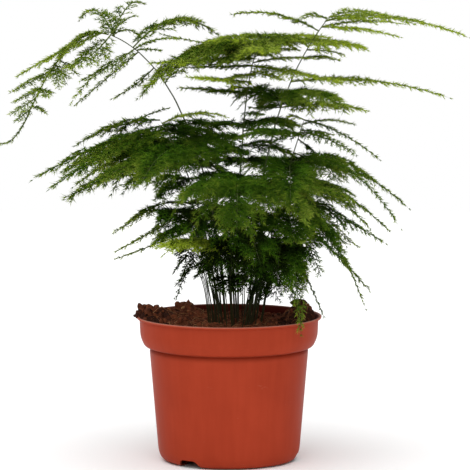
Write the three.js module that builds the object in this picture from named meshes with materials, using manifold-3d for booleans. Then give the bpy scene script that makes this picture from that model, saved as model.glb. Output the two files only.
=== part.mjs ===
// A lace fern in a round plastic nursery pot, filled with peat and coir.
// Millimetres, +Z up. The origin is on the pot's axis, in the plane that the pot stands on.
// Every leafy stem is one solid: a wiry stem, and its sprays, which are slim ribs with two flat
// rows of branchlets and a row of short needles on top.
import * as THREE from "three";
import { mergeVertices } from "three/addons/utils/BufferGeometryUtils.js";
import Module from "manifold-3d";

const wasm = await Module();
wasm.setup();

// Driving dimensions of the pot
const POT_HEIGHT = 94;
const RIM_RADIUS = 60; // at the lip
const BAND_RADIUS = 57.4; // the straight band under the lip
const BAND_HEIGHT = 12.5; // from the lip's underside down to the shoulder
const SHOULDER_DROP = 6.6;
const SHOULDER_RADIUS = 51.2; // the top of the tapered wall
const FOOT_RADIUS = 45.2; // the tapered wall, carried down to the ground
const CORNER_RADIUS = 6; // between the wall and the foot ring
const POT_WALL = 1.1;
const POT_SIDES = 40;
const LIP_HEIGHT = 1.4;

// The underside: a foot ring, a raised gutter and a flat middle that stands with the ring
const MIDDLE_RADIUS = 18;
const GUTTER_INNER = 21;
const GUTTER_OUTER = 33.5;
const GUTTER_HEIGHT = 3.6;
const DRAIN_COUNT = 3;
const DRAIN_HEIGHT = 5;
const DRAIN_WIDTH_LOW = 19;
const DRAIN_WIDTH_HIGH = 11;
const DRAIN_FIRST_DEG = -126; // so that one drain shows at the lower left of the front

// Peat
const PEAT_GAP = 0.35; // between the peat and the pot, and round each stem
const PEAT_FLOOR = 6.2;
const PEAT_LEVEL = 88;
const PEAT_SIDES = 30;
const PEAT_RINGS = 7;
const WAVE_HEIGHT = 1.3;
const RIPPLE_HEIGHT = 0.9;
const HEAPS = [[-46, 8, 8, 14], [-30, 38, 7, 14], [47, 12, 12, 12], [28, -40, 3, 16]]; // x, y, height, width
const HOLE_FLOOR = 76; // the stems' lower ends
const HOLE_SHARE = 0.45; // of a stem's curve, which is certain to leave the peat

// Leafy stems
const STEM_RADIUS_FOOT = 0.95;
const STEM_RADIUS_TOP = 0.5;
const STEM_SIDES = 5;
const STEM_STEPS = 9;
const RIB_RADIUS_ROOT = 0.62;
const RIB_RADIUS_TIP = 0.42;
const BRANCHLET_PITCH = 14.4; // along a rib
const FEWEST_STEPS = 3; // of branchlets on a rib
const RIB_SHARE = 0.96; // of a rib that carries branchlets
const BRANCHLET_ANGLE_ROOT = 52; // degrees from the rib
const BRANCHLET_ANGLE_TIP = 30;
const BRANCHLET_SAG = 0.07; // its drop for each millimetre of its length
const SAG_GROWTH = 0.011; // and how much that grows with each millimetre
const NEEDLE_LENGTH = 4.6;
const NEEDLE_ANGLE = 46;
const ROLL_SPREAD = 9; // degrees that sprays tip to one side
const CLEARANCE = 0.3; // between any two leafy stems
const SUNK_RADII = 1.6; // a branchlet is tested from this many rib radii out
const SUNK_SHARE = 0.3; // or from this share of its length, where that is less
const OUTLINE_FULLNESS = 1.26; // of a spray, against its half width
const OUTLINE_TAPER = 0.8;
const OUTLINE_NECK = [0.35, 2.6]; // its width at the root, and how fast it grows from there

// Each stem: foot [x, y] in the peat, two handles and the top of its arch, then its sprays.
// A spray: [place on the stem from 0 to 1, tip x, y, z, lift of its arch, half width].
// A place from 1 to 2 is on the first spray's rib, which then branches again.
const STEMS = {
  stem_left_tall: {
    foot: [-2, 4], low: [-4, 6, 185], high: [-36, 8, 262], top: [-77, -6, 276],
    sprays: [
      [1.0, -128, -22, 225, 17, 10], [0.97, -82, 44, 288, 4, 8], [0.86, -94, -40, 248, -1, 8],
      [0.84, -102, 25, 227, 0, 5], [0.87, -5, 38, 272, 16, 13], [0.86, -30, -48, 275, 3, 4],
      [0.75, -76, 20, 233, -2, 6], [0.68, -28, 30, 249, 4, 5], [1.08, -135, -42, 250, 2, 10],
      [0.99, -103, -50, 257, -4, 10], [1.72, -143, 30, 236, 0, 6], [1.84, -140, 8, 231, 0, 5],
      [1.9, -138, -48, 227, 0, 5], [1.96, -138, 6, 219, 0, 4], [1.62, -97, 12, 248, 1, 4],
      [1.68, -106, -56, 244, 2, 7], [1.95, -119, 14, 224, 1, 4], [0.97, -98, 30, 282, 12, 7],
      [0.98, -55, 24, 294, 9, 6], [0.99, -58, -6, 288, 3, 4], [0.98, -58, 10, 274, 4, 5],
      [1.66, -103, -30, 246, 1, 7], [1.84, -114, -60, 239, 1, 7], [0.85, -42, -20, 266, 1, 4],
      [1.97, -147, -22, 208, -7, 4],
    ],
  },
  stem_right_tall: {
    foot: [12, 2], low: [17, 2, 195], high: [32, 0, 245], top: [64, -4, 287],
    sprays: [
      [1.0, 154, -14, 274, 6, 10], [0.95, 109, -48, 276, 2, 8], [0.93, 0, 22, 287, 6, 8],
      [0.98, 97, 48, 280, 3, 6], [0.88, -14, -40, 273, 4, 15], [0.86, 89, -34, 267, 3, 11],
      [0.8, 73, 42, 256, 2, 6], [0.7, 143, 12, 234, 6, 10], [0.66, 72, -66, 236, 4, 19],
      [0.63, -1, 46, 239, 2, 15], [0.6, 90, -28, 228, 3, 13], [0.6, 36, 106, 226, 6, 18],
      [0.95, 114, 25, 281, 3, 6], [1.0, 104, 20, 286, 4, 9], [0.99, 46, -10, 286, 2, 8],
      [0.84, 75, -10, 263, 1, 6], [0.6, 12, 10, 228, 0, 5],
    ],
  },
  stem_middle_tall: {
    foot: [6, -3], low: [5, 0, 185], high: [9, 4, 245], top: [19, 8, 268],
    sprays: [
      [1.0, -58, -24, 236, 14, 22], [0.97, 91, 20, 265, 6, 15], [0.9, -50, -44, 260, 0, 13],
      [0.94, 6, 94, 254, 8, 22], [0.9, 24, -82, 268, 5, 14], [0.85, 73, -46, 247, 1, 11],
      [0.76, -26, -58, 252, 0, 10], [0.7, -34, 34, 239, 1, 9], [0.57, 47, 76, 210, 4, 15],
      [0.52, -28, -26, 203, 5, 19], [0.47, -30, -62, 196, 6, 21], [0.97, -33, 30, 259, 6, 16],
      [0.99, 66, 50, 271, 4, 12], [0.87, 56, -20, 261, 2, 6], [0.55, 36, -12, 211, 2, 12],
      [0.57, -18, -8, 217, 2, 11], [0.5, 41, 24, 196, 3, 15], [0.45, -20, 20, 188, 3, 15],
      [0.85, -28, -10, 255, 0, 8], [0.93, 46, 10, 265, 2, 9], [0.82, 35, -30, 248, 0, 6],
      [0.4, -21, -40, 186, 2, 14], [0.99, -45, -10, 277, -2, 5], [0.62, 22, -30, 226, 0, 5],
      [0.97, -40, -4, 250, 9, 18], [0.8, 0, -34, 250, 0, 8],
      [0.44, 16, 44, 190, 2, 16], [0.4, 22, -34, 180, 2, 14],
    ],
  },
  stem_right_arch: {
    foot: [16, -6], low: [22, -8, 140], high: [38, -12, 190], top: [48, -16, 222],
    sprays: [
      [1.0, 97, -38, 197, 4, 5], [0.97, 82, 18, 216, 3, 4], [0.92, 80, -66, 199, 3, 8],
      [0.9, 4, -68, 213, 4, 14], [0.8, 95, -6, 182, 1, 13], [0.74, 115, -28, 165, 10, 9],
      [0.72, 108, -66, 157, 19, 8], [0.78, 38, -106, 182, 9, 24], [0.68, 105, -10, 148, 8, 15],
      [1.0, 38, -20, 224, 1, 6], [0.93, 68, 10, 210, 1, 5], [0.75, 66, 30, 189, 3, 13],
      [0.66, 91, -40, 153, 8, 15], [0.88, 57, -10, 199, 0, 7], [0.9, 28, -20, 208, 1, 8],
    ],
  },
  stem_left_arch: {
    foot: [-5, -6], low: [-9, -8, 130], high: [-20, -12, 185], top: [-44, -18, 222],
    sprays: [
      [1.0, -102, -4, 203, 6, 14], [0.98, 1, -30, 224, 5, 7], [0.97, -124, -44, 186, 4, 14],
      [0.93, -113, -72, 182, 5, 16], [0.84, -106, -30, 171, 3, 19], [0.95, 10, 44, 213, 3, 14],
      [0.84, -54, -108, 189, 6, 20], [0.82, -87, -88, 186, 4, 15], [0.9, -110, 10, 185, 4, 13],
      [0.88, -102, 20, 175, 5, 15], [0.78, -66, -60, 183, 2, 17], [0.92, -90, 30, 200, 6, 14],
      [0.92, -9, 0, 213, 2, 14], [0.7, -46, -50, 168, 2, 18], [0.8, 0, -20, 188, 2, 14],
      [1.3, -38, 10, 228, 1, 3], [0.95, -20, 24, 208, 1, 14], [0.86, -24, 30, 184, 1, 13],
    ],
  },
  stem_back_left: {
    foot: [-3, 8], low: [-9, 16, 130], high: [-26, 34, 175], top: [-42, 48, 202],
    sprays: [
      [1.0, -112, 62, 181, 7, 16], [0.95, -88, 96, 184, 8, 20], [0.9, -40, 118, 186, 10, 24],
      [0.92, 0, 92, 196, 7, 22], [0.84, -96, 28, 172, 6, 12], [0.75, -50, 84, 167, 5, 14],
      [0.7, -46, 40, 168, 3, 15],
    ],
  },
  stem_back_right: {
    foot: [10, 9], low: [16, 20, 120], high: [30, 38, 160], top: [46, 52, 192],
    sprays: [
      [1.0, 98, 70, 174, 7, 14], [0.94, 74, 104, 170, 9, 22], [0.9, 24, 120, 176, 9, 24],
      [0.86, 84, 38, 167, 4, 13], [0.78, 54, 96, 140, 8, 20],
    ],
  },
  stem_left_low: {
    foot: [-8, 2], low: [-9, 0, 124], high: [-21, -2, 152], top: [-44, -4, 168],
    sprays: [
      [1.0, -76, 18, 145, 0, 9], [0.82, -73, -28, 138, 0, 6], [0.68, -74, -6, 131, 0, 5],
      [0.72, -48, -60, 146, 2, 12], [0.9, -18, -94, 154, 5, 20], [0.85, -52, 62, 140, 5, 12],
      [0.98, -62, -20, 158, 1, 9], [0.85, -41, 10, 154, 1, 9], [0.6, -30, -34, 132, 1, 11],
      [0.98, -19, 6, 166, 1, 12],
    ],
  },
  stem_front: {
    foot: [3, -12], low: [1, -20, 120], high: [-2, -34, 160], top: [6, -48, 186],
    sprays: [
      [1.0, 5, -120, 160, 9, 26], [0.96, 50, -108, 168, 8, 25], [0.93, -27, -104, 179, 6, 22],
      [0.88, 80, -74, 176, 9, 22], [0.8, 20, -108, 138, 8, 22], [0.55, -48, -82, 145, 3, 18],
      [0.45, -17, -40, 126, 3, 18], [0.45, 26, -44, 122, 3, 18], [0.36, 0, -56, 116, 3, 16],
      [0.6, 2, -90, 132, 5, 20],
      [0.6, 26, -60, 156, 4, 16],
    ],
  },
  stem_right_low: {
    foot: [13, -12], low: [16, -13, 122], high: [30, -18, 152], top: [52, -24, 170],
    sprays: [
      [1.0, 100, -30, 144, 1, 10], [0.95, 84, 20, 136, 0, 8], [0.9, 76, -62, 132, 3, 12],
      [0.82, 92, 8, 108, 3, 9], [0.8, 88, -34, 100, 20, 9], [0.8, 58, -76, 127, 5, 10],
      [0.9, 40, -98, 150, 8, 22], [0.88, 75, 0, 134, 4, 13],
      [0.75, 52, -50, 132, 3, 10], [1.0, 72, -10, 158, 3, 8],
    ],
  },
  stem_hanging: {
    foot: [8, -16], low: [13, -22, 112], high: [26, -32, 140], top: [38, -38, 150],
    sprays: [
      [1.0, 46, -50, 86, 10, 9], [0.95, 61, -40, 97, 2, 4], [0.9, 30, -86, 124, 8, 20],
      [0.8, 8, -80, 122, 8, 20], [0.97, 41, -20, 108, 2, 10], [0.8, 29, -30, 110, 3, 12],
    ],
  },
  stem_left_wisp: {
    foot: [-12, -4], low: [-13, -6, 114], high: [-17, -8, 126], top: [-26, -10, 134],
    sprays: [
      [1.0, -36, -14, 122, 2, 4], [0.9, -33, 6, 112, 3, 4], [0.85, -34, -32, 107, 4, 4],
    ],
  },
  stem_right_wisp: {
    foot: [15, 4], low: [16, 5, 110], high: [22, 4, 127], top: [33, 3, 134],
    sprays: [
      [1.0, 52, 6, 114, 4, 9], [0.95, 46, -24, 114, 5, 11], [0.9, 50, 36, 116, 6, 16],
    ],
  },
  stem_back_low: {
    foot: [5, 14], low: [5, 24, 110], high: [2, 38, 140], top: [-2, 52, 156],
    sprays: [
      [1.0, -8, 112, 138, 8, 26], [0.95, 40, 92, 134, 8, 22], [0.9, -48, 90, 130, 8, 22],
      [0.85, -30, 60, 128, 6, 18], [0.8, 30, 66, 120, 6, 18], [0.6, -16, 36, 122, 3, 18],
      [0.62, 25, 26, 124, 3, 18],
    ],
  },
};

const UP = new THREE.Vector3(0, 0, 1);
const point = (x, y, z) => new THREE.Vector3(x, y, z);
const degrees = THREE.MathUtils.degToRad;

// A solid from a three.js geometry, or from points and triangles.
function solidFrom(geometry) {
  const plain = geometry.index ? geometry.toNonIndexed() : geometry;
  const bare = new THREE.BufferGeometry().setAttribute("position", plain.getAttribute("position"));
  const merged = mergeVertices(bare, 1e-4);
  return new wasm.Manifold(
    new wasm.Mesh({
      numProp: 3,
      vertProperties: new Float32Array(merged.attributes.position.array),
      triVerts: new Uint32Array(merged.index.array),
    }),
  );
}

function solidFromTriangles(points, triangles) {
  return new wasm.Manifold(
    new wasm.Mesh({
      numProp: 3,
      vertProperties: new Float32Array(points.flatMap((p) => [p.x, p.y, p.z])),
      triVerts: new Uint32Array(triangles.flat()),
    }),
  );
}

// The main body of a solid: a scrap that a union cut loose is dropped.
const largest = (solid) => solid.decompose().reduce((a, b) => (b.volume() > a.volume() ? b : a));

function meshFrom(name, solid, color, roughness) {
  const { vertProperties, triVerts } = solid.getMesh();
  const geometry = new THREE.BufferGeometry();
  geometry.setAttribute("position", new THREE.BufferAttribute(new Float32Array(vertProperties), 3));
  geometry.setIndex(new THREE.BufferAttribute(new Uint32Array(triVerts), 1));
  geometry.computeVertexNormals();
  const material = new THREE.MeshStandardMaterial({ color, roughness, metalness: 0 });
  const mesh = new THREE.Mesh(geometry, material);
  mesh.name = name;
  return mesh;
}

// A closed profile of [radius, height] turned round Z.
function turned(profile, sides) {
  const outline = profile.map(([r, z]) => new THREE.Vector2(r, z));
  return solidFrom(new THREE.LatheGeometry(outline, sides).rotateX(Math.PI / 2));
}

// The pot's wall, outside and inside, from the foot ring to the lip.
const wallSlope = (SHOULDER_RADIUS - FOOT_RADIUS) / (POT_HEIGHT - LIP_HEIGHT - BAND_HEIGHT - SHOULDER_DROP);
const bandTop = POT_HEIGHT - LIP_HEIGHT;
const bandFoot = bandTop - BAND_HEIGHT;
const shoulderFoot = bandFoot - SHOULDER_DROP;
const ringRadius = FOOT_RADIUS - CORNER_RADIUS;

function potProfile() {
  const cornerHeight = CORNER_RADIUS * Math.sin(degrees(30));
  const outside = [
    [0, 0], [MIDDLE_RADIUS, 0], [GUTTER_INNER, GUTTER_HEIGHT], [GUTTER_OUTER, GUTTER_HEIGHT],
    [GUTTER_OUTER + 2, 0], [ringRadius, 0],
    [FOOT_RADIUS - 0.3 * CORNER_RADIUS, 0.35 * cornerHeight],
    [FOOT_RADIUS + wallSlope * CORNER_RADIUS, CORNER_RADIUS],
    [SHOULDER_RADIUS, shoulderFoot], [BAND_RADIUS - 1.3, bandFoot - 1.6],
    [BAND_RADIUS - 0.4, bandFoot + 1.6], [BAND_RADIUS, bandTop - 0.6],
    [RIM_RADIUS, bandTop + 0.5], [RIM_RADIUS, POT_HEIGHT - 0.5], [RIM_RADIUS - 0.7, POT_HEIGHT],
  ];
  const inside = [
    [RIM_RADIUS - 1.8, POT_HEIGHT], [BAND_RADIUS - POT_WALL, bandTop - 0.4],
    [BAND_RADIUS - POT_WALL - 0.4, bandFoot + 1.8], [BAND_RADIUS - POT_WALL - 1.3, bandFoot - 0.8],
    [SHOULDER_RADIUS - POT_WALL, shoulderFoot + 1],
    [FOOT_RADIUS + wallSlope * CORNER_RADIUS - POT_WALL, CORNER_RADIUS + 0.3],
    [FOOT_RADIUS - 0.3 * CORNER_RADIUS - POT_WALL, POT_WALL + 0.7],
    [ringRadius - 0.2, POT_WALL + 0.1], [GUTTER_OUTER + 2.6, POT_WALL + 0.1],
    [GUTTER_OUTER + 0.4, GUTTER_HEIGHT + POT_WALL], [GUTTER_INNER - 0.5, GUTTER_HEIGHT + POT_WALL],
    [MIDDLE_RADIUS - 0.5, POT_WALL], [0, POT_WALL],
  ];
  return [...outside, ...inside];
}

// A drain is an arch through the foot ring and the wall's corner, open into the gutter.
function drain(angle) {
  const arch = new THREE.Shape();
  arch.moveTo(-DRAIN_WIDTH_LOW / 2, -1);
  arch.lineTo(DRAIN_WIDTH_LOW / 2, -1);
  arch.lineTo(DRAIN_WIDTH_LOW / 2 - 0.5, 0);
  arch.lineTo(DRAIN_WIDTH_HIGH / 2, DRAIN_HEIGHT);
  arch.lineTo(-DRAIN_WIDTH_HIGH / 2, DRAIN_HEIGHT);
  arch.lineTo(-DRAIN_WIDTH_LOW / 2 + 0.5, 0);
  const reach = FOOT_RADIUS + 8 - GUTTER_OUTER;
  const block = new THREE.ExtrudeGeometry(arch, { depth: reach, bevelEnabled: false });
  block.rotateX(Math.PI / 2);
  block.translate(0, -GUTTER_OUTER + 1, 0);
  block.rotateZ(angle + Math.PI / 2);
  return solidFrom(block);
}

function pot() {
  let solid = turned(potProfile(), POT_SIDES);
  for (let k = 0; k < DRAIN_COUNT; k++) {
    const angle = degrees(DRAIN_FIRST_DEG + (360 * k) / DRAIN_COUNT);
    solid = solid.subtract(drain(angle));
  }
  return solid;
}

// The peat's height at a point: a rolling surface, a heap against the left rim and one at the right.
function peatHeight(x, y) {
  const waves = WAVE_HEIGHT * Math.sin(0.21 * x + 0.6) * Math.cos(0.17 * y - 0.4);
  const ripples = RIPPLE_HEIGHT * Math.sin(0.43 * y + 0.31 * x);
  const rise = ([cx, cy, height, width]) => height * Math.exp(-((x - cx) ** 2 + (y - cy) ** 2) / width ** 2);
  return HEAPS.reduce((level, heap) => level + rise(heap), PEAT_LEVEL + waves + ripples);
}

// The peat's own wall, as [radius, height], just inside the pot's.
const peatWall = [
  [ringRadius - 1, PEAT_FLOOR],
  [FOOT_RADIUS + wallSlope * (PEAT_FLOOR + 1.5) - POT_WALL - 0.6, PEAT_FLOOR + 1.5],
  [SHOULDER_RADIUS - POT_WALL - 0.6, shoulderFoot + 0.6],
  [BAND_RADIUS - POT_WALL - 2.2, bandFoot - 0.6],
];
const peatTopRadius = BAND_RADIUS - POT_WALL - 1;

// Peat: stacked rings up the wall, then rings of the rolling surface towards the middle.
function peat() {
  const points = [point(0, 0, PEAT_FLOOR)];
  const triangles = [];
  const ring = (radius, height) => {
    for (let k = 0; k < PEAT_SIDES; k++) {
      const a = (2 * Math.PI * k) / PEAT_SIDES;
      const x = radius * Math.cos(a);
      const y = radius * Math.sin(a);
      points.push(point(x, y, height ?? peatHeight(x, y)));
    }
  };
  for (const [radius, height] of peatWall) ring(radius, height);
  for (let k = 0; k < PEAT_RINGS; k++) ring(peatTopRadius * (1 - k / PEAT_RINGS));
  points.push(point(0, 0, peatHeight(0, 0)));
  const rings = peatWall.length + PEAT_RINGS;
  for (let i = 0; i < rings - 1; i++) {
    for (let k = 0; k < PEAT_SIDES; k++) {
      const a = 1 + i * PEAT_SIDES + k;
      const b = 1 + i * PEAT_SIDES + ((k + 1) % PEAT_SIDES);
      triangles.push([a, b, b + PEAT_SIDES], [a, b + PEAT_SIDES, a + PEAT_SIDES]);
    }
  }
  for (let k = 0; k < PEAT_SIDES; k++) {
    const next = (k + 1) % PEAT_SIDES;
    const last = 1 + (rings - 1) * PEAT_SIDES;
    triangles.push([0, 1 + next, 1 + k], [last + k, last + next, points.length - 1]);
  }
  return solidFromTriangles(points, triangles);
}

// A tube along a curve, with a radius that runs from one end to the other.
function tube(curve, radiusAt, sides, steps, last = 1) {
  const points = [];
  const triangles = [];
  for (let i = 0; i <= steps; i++) {
    const t = (last * i) / steps;
    const along = curve.getTangent(t);
    const side = point(1, 0.3, 0).cross(along).normalize();
    const other = along.clone().cross(side);
    for (let k = 0; k < sides; k++) {
      const a = (2 * Math.PI * k) / sides;
      const out = side.clone().multiplyScalar(Math.cos(a)).addScaledVector(other, Math.sin(a));
      points.push(curve.getPoint(t).addScaledVector(out, radiusAt(t)));
    }
  }
  for (let k = 1; k < sides - 1; k++) {
    const end = steps * sides;
    triangles.push([0, k + 1, k], [end, end + k, end + k + 1]);
  }
  for (let i = 0; i < steps; i++) {
    for (let k = 0; k < sides; k++) {
      const a = i * sides + k;
      const b = i * sides + ((k + 1) % sides);
      triangles.push([a, b, b + sides], [a, b + sides, a + sides]);
    }
  }
  return solidFromTriangles(points, triangles);
}

const stemRadius = (t) => STEM_RADIUS_FOOT + (STEM_RADIUS_TOP - STEM_RADIUS_FOOT) * t;

function stemCurve({ foot, low, high, top }) {
  const start = point(...foot, HOLE_FLOOR);
  return new THREE.CubicBezierCurve3(start, point(...low), point(...high), point(...top));
}

// A spray's rib arches from its root, inside the stem or inside the first rib, to its tip.
function ribCurve(stem, firstRib, [at, x, y, z, lift]) {
  const root = at > 1 ? firstRib.getPoint(at - 1) : stem.getPoint(at);
  const tip = point(x, y, z);
  const middle = root.clone().add(tip).multiplyScalar(0.5).addScaledVector(UP, 2 * lift);
  return new THREE.QuadraticBezierCurve3(root, middle, tip);
}

// The outline of a spray: its half width along the rib, from 0 at the stem to 1 at the tip.
function sprayOutline(u) {
  const neck = Math.min(1, OUTLINE_NECK[0] + OUTLINE_NECK[1] * u);
  return OUTLINE_FULLNESS * (1 - u) ** OUTLINE_TAPER * neck;
}

// The places along a rib between which it runs straight, with its bare end last.
function ribPlaces(rib) {
  const steps = Math.max(FEWEST_STEPS, Math.round(rib.getLength() / BRANCHLET_PITCH));
  return [...Array(steps + 1).keys()].map((i) => (RIB_SHARE * i) / steps);
}

// The shortest distance between two straight pieces, each [start, end].
function distanceBetween([a, b], [c, d]) {
  const u = b.clone().sub(a);
  const v = d.clone().sub(c);
  const w = a.clone().sub(c);
  const uu = u.dot(u);
  const uv = u.dot(v);
  const vv = v.dot(v);
  const uw = u.dot(w);
  const vw = v.dot(w);
  const clamp = THREE.MathUtils.clamp;
  const across = uu * vv - uv * uv;
  let s = across > 1e-9 ? clamp((uv * vw - vv * uw) / across, 0, 1) : 0;
  const t = clamp((uv * s + vw) / vv, 0, 1);
  s = clamp((uv * t - uw) / uu, 0, 1);
  return w.addScaledVector(u, s).addScaledVector(v, -t).length();
}

// What marks a piece as a branchlet's edge, in place of its rib's number.
const FLANK = "flank";

// Every straight piece that is already in place, with its thickness, its stem and its rib's number.
const placed = [];
const place = (piece, radius, stem, rib) => {
  const box = new THREE.Box3().setFromPoints(piece).expandByScalar(radius + CLEARANCE);
  placed.push({ piece, radius, stem, rib, box });
};

function isClear(piece, radius, isOwn) {
  const box = new THREE.Box3().setFromPoints(piece).expandByScalar(radius);
  return placed.every(
    (other) =>
      isOwn(other) ||
      !other.box.intersectsBox(box) ||
      distanceBetween(piece, other.piece) > radius + other.radius + CLEARANCE,
  );
}

function placeChain(points, radius, stem, rib) {
  for (let i = 0; i < points.length - 1; i++) place([points[i], points[i + 1]], radius, stem, rib);
}

// A spray: a rib of three sides, whose lower faces carry the branchlets and whose top carries needles.
// Each is a spike drawn out of one face, and one that would touch another stem's is left out.
function spraySolid(rib, halfWidth, roll, stem, number) {
  const points = [];
  const triangles = [];
  const frames = [];
  for (const u of ribPlaces(rib)) {
    const along = rib.getTangent(u);
    const side = along.clone().cross(UP).normalize().applyAxisAngle(along, roll);
    const up = side.clone().cross(along);
    const radius = RIB_RADIUS_ROOT + (RIB_RADIUS_TIP - RIB_RADIUS_ROOT) * u;
    const centre = rib.getPoint(u);
    frames.push({ u, along, side, up, centre, radius });
    points.push(
      centre.clone().addScaledVector(side, -radius).addScaledVector(up, 0.5 * radius),
      centre.clone().addScaledVector(side, radius).addScaledVector(up, 0.5 * radius),
      centre.clone().addScaledVector(up, -radius),
    );
  }
  points.push(rib.getPoint(1));
  const steps = frames.length - 1;
  const spike = (face, i) => {
    const { u, along, side, up, centre, radius } = frames[i];
    const root = centre.clone().lerp(frames[i + 1].centre, 0.5);
    const lean = degrees(BRANCHLET_ANGLE_ROOT + (BRANCHLET_ANGLE_TIP - BRANCHLET_ANGLE_ROOT) * u);
    const hand = face === 1 ? 1 : -1;
    const tip = root.clone();
    if (face === 0) {
      tip.addScaledVector(along, NEEDLE_LENGTH * Math.cos(degrees(NEEDLE_ANGLE)));
      tip.addScaledVector(up, NEEDLE_LENGTH * Math.sin(degrees(NEEDLE_ANGLE)));
    } else {
      const reach = (halfWidth * sprayOutline(u + 0.03)) / Math.sin(lean);
      const length = Math.max(NEEDLE_LENGTH, reach);
      tip.addScaledVector(along, length * Math.cos(lean));
      tip.addScaledVector(side, hand * length * Math.sin(lean));
      tip.addScaledVector(UP, -(BRANCHLET_SAG + SAG_GROWTH * length) * length);
    }
    const sunk = Math.min(SUNK_SHARE, (SUNK_RADII * radius) / root.distanceTo(tip));
    const start = root.clone().lerp(tip, sunk);
    const flanks = [[centre, tip], [frames[i + 1].centre, tip]];
    const isOwn = (other) => other.stem === stem && (other.rib === number || other.rib === FLANK);
    if (!isClear([start, tip], radius, isOwn)) return null;
    if (!flanks.every((flank) => isClear(flank, radius, (other) => other.stem === stem))) return null;
    place([start, tip], radius, stem, number);
    flanks.forEach((flank) => place(flank, radius, stem, FLANK));
    return tip;
  };
  for (let i = 0; i < steps; i++) {
    for (let face = 0; face < 3; face++) {
      const a = 3 * i + face;
      const b = 3 * i + ((face + 1) % 3);
      const tip = i > 0 ? spike(face, i) : null;
      if (tip) {
        const p = points.push(tip) - 1;
        triangles.push([a, b, p], [b, b + 3, p], [b + 3, a + 3, p], [a + 3, a, p]);
      } else {
        triangles.push([a, b, b + 3], [a, b + 3, a + 3]);
      }
    }
  }
  const end = 3 * steps;
  const apex = 3 * steps + 3;
  triangles.push([0, 2, 1], [end, end + 1, apex], [end + 1, end + 2, apex], [end + 2, end, apex]);
  return solidFromTriangles(points, triangles);
}

// Lays out every stem and rib first, so that the branchlets can keep clear of them all.
const layout = Object.entries(STEMS).map(([name, data]) => {
  const stem = stemCurve(data);
  placeChain(stem.getPoints(STEM_STEPS), STEM_RADIUS_FOOT, name, "stem");
  const ribs = [];
  data.sprays.forEach((spray, k) => {
    const rib = ribCurve(stem, ribs[0], spray);
    placeChain([...ribPlaces(rib), 1].map((u) => rib.getPoint(u)), RIB_RADIUS_ROOT, name, k);
    ribs.push(rib);
  });
  return { name, data, stem, ribs };
});

function leafyStem({ name, data, stem, ribs }) {
  let solid = tube(stem, stemRadius, STEM_SIDES, STEM_STEPS);
  ribs.forEach((rib, k) => {
    const roll = degrees(ROLL_SPREAD * Math.sin(2.4 * k + name.length));
    solid = solid.add(spraySolid(rib, data.sprays[k][5], roll, name, k));
  });
  return largest(solid);
}

// The plain hole that a stem stands in.
function stemHole({ stem }) {
  const radiusAt = (t) => stemRadius(t) + PEAT_GAP;
  return tube(stem, radiusAt, STEM_SIDES, STEM_STEPS, HOLE_SHARE).translate(0, 0, -PEAT_GAP);
}

const GREENS = ["#2f5a17", "#3c6b1c", "#274d14", "#46761f"];
const object = new THREE.Group();
object.add(meshFrom("pot", pot(), "#a63f2b", 0.5));
const drilledPeat = layout.reduce((solid, entry) => solid.subtract(stemHole(entry)), peat());
object.add(meshFrom("peat", drilledPeat, "#3a1d14", 0.95));
layout.forEach((entry, k) => {
  object.add(meshFrom(entry.name, leafyStem(entry), GREENS[k % GREENS.length], 0.6));
});

export default object;
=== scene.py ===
import bpy
import numpy as np
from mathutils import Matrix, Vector


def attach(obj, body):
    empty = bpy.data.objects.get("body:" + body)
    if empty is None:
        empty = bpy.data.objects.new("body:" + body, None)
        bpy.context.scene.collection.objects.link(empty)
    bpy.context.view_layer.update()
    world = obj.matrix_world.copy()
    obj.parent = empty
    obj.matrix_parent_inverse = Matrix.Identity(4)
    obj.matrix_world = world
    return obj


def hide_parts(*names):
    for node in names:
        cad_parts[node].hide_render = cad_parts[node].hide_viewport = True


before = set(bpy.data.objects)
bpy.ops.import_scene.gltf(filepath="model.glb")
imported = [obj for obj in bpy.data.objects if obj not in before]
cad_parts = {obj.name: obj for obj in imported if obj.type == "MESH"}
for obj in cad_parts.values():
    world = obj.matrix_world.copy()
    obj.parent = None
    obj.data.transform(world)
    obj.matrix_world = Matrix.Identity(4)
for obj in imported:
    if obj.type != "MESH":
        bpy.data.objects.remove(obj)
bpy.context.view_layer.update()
millimetre = 0.001
upward = np.array([0.0, 0.0, 1.0])
print("frame loaded,", len(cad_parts), "nodes")

# Camera, light and floor
studio = {
    "cameraPlace": (0.0039, -2.187, 0.384),
    "cameraAim": (0.0039, 0.0, 0.1463),
    "lens": 261,  # millimetres, on a 36 mm sensor
    "cameraReach": 50,  # metres
    "skySeen": 1.0,
    "skyLight": 0.43,
    "floorRadius": 1600,
    "floorLevels": (-4.0, -0.05),  # its underside and its top
    "floorSides": 96,
    "floorShade": 0.98,
    "floorRoughness": 0.9,
    "overhead": {"place": (-0.15, -0.35, 2.0), "strength": 2.5, "spread": 80},  # degrees
    "lamps": [  # place and aim in metres, width of the soft box, watts
        {"place": (-0.35, -2.4, 1.3), "aim": (0, 0, 0.15), "width": 1.2, "watts": 10},
        {"place": (0.8, -2.2, 1.2), "aim": (0, 0, 0.15), "width": 1.2, "watts": 6},
    ],
}


def aimed(thing, place, aim):
    # Cameras and lamps look along their own -Z.
    thing.location = place
    thing.rotation_euler = (Vector(aim) - Vector(place)).to_track_quat("-Z", "Y").to_euler()
    bpy.context.scene.collection.objects.link(thing)


lensData = bpy.data.cameras.new("camera")
lensData.lens = studio["lens"]
lensData.clip_end = studio["cameraReach"]
camera = bpy.data.objects.new("camera", lensData)
aimed(camera, studio["cameraPlace"], studio["cameraAim"])
bpy.context.scene.camera = camera

# A wide lamp overhead, far enough to light the whole floor evenly
overheadData = bpy.data.lights.new("overhead", "SUN")
overheadData.energy = studio["overhead"]["strength"]
overheadData.angle = np.radians(studio["overhead"]["spread"])
aimed(bpy.data.objects.new("overhead", overheadData), studio["overhead"]["place"], (0, 0, 0))

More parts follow.
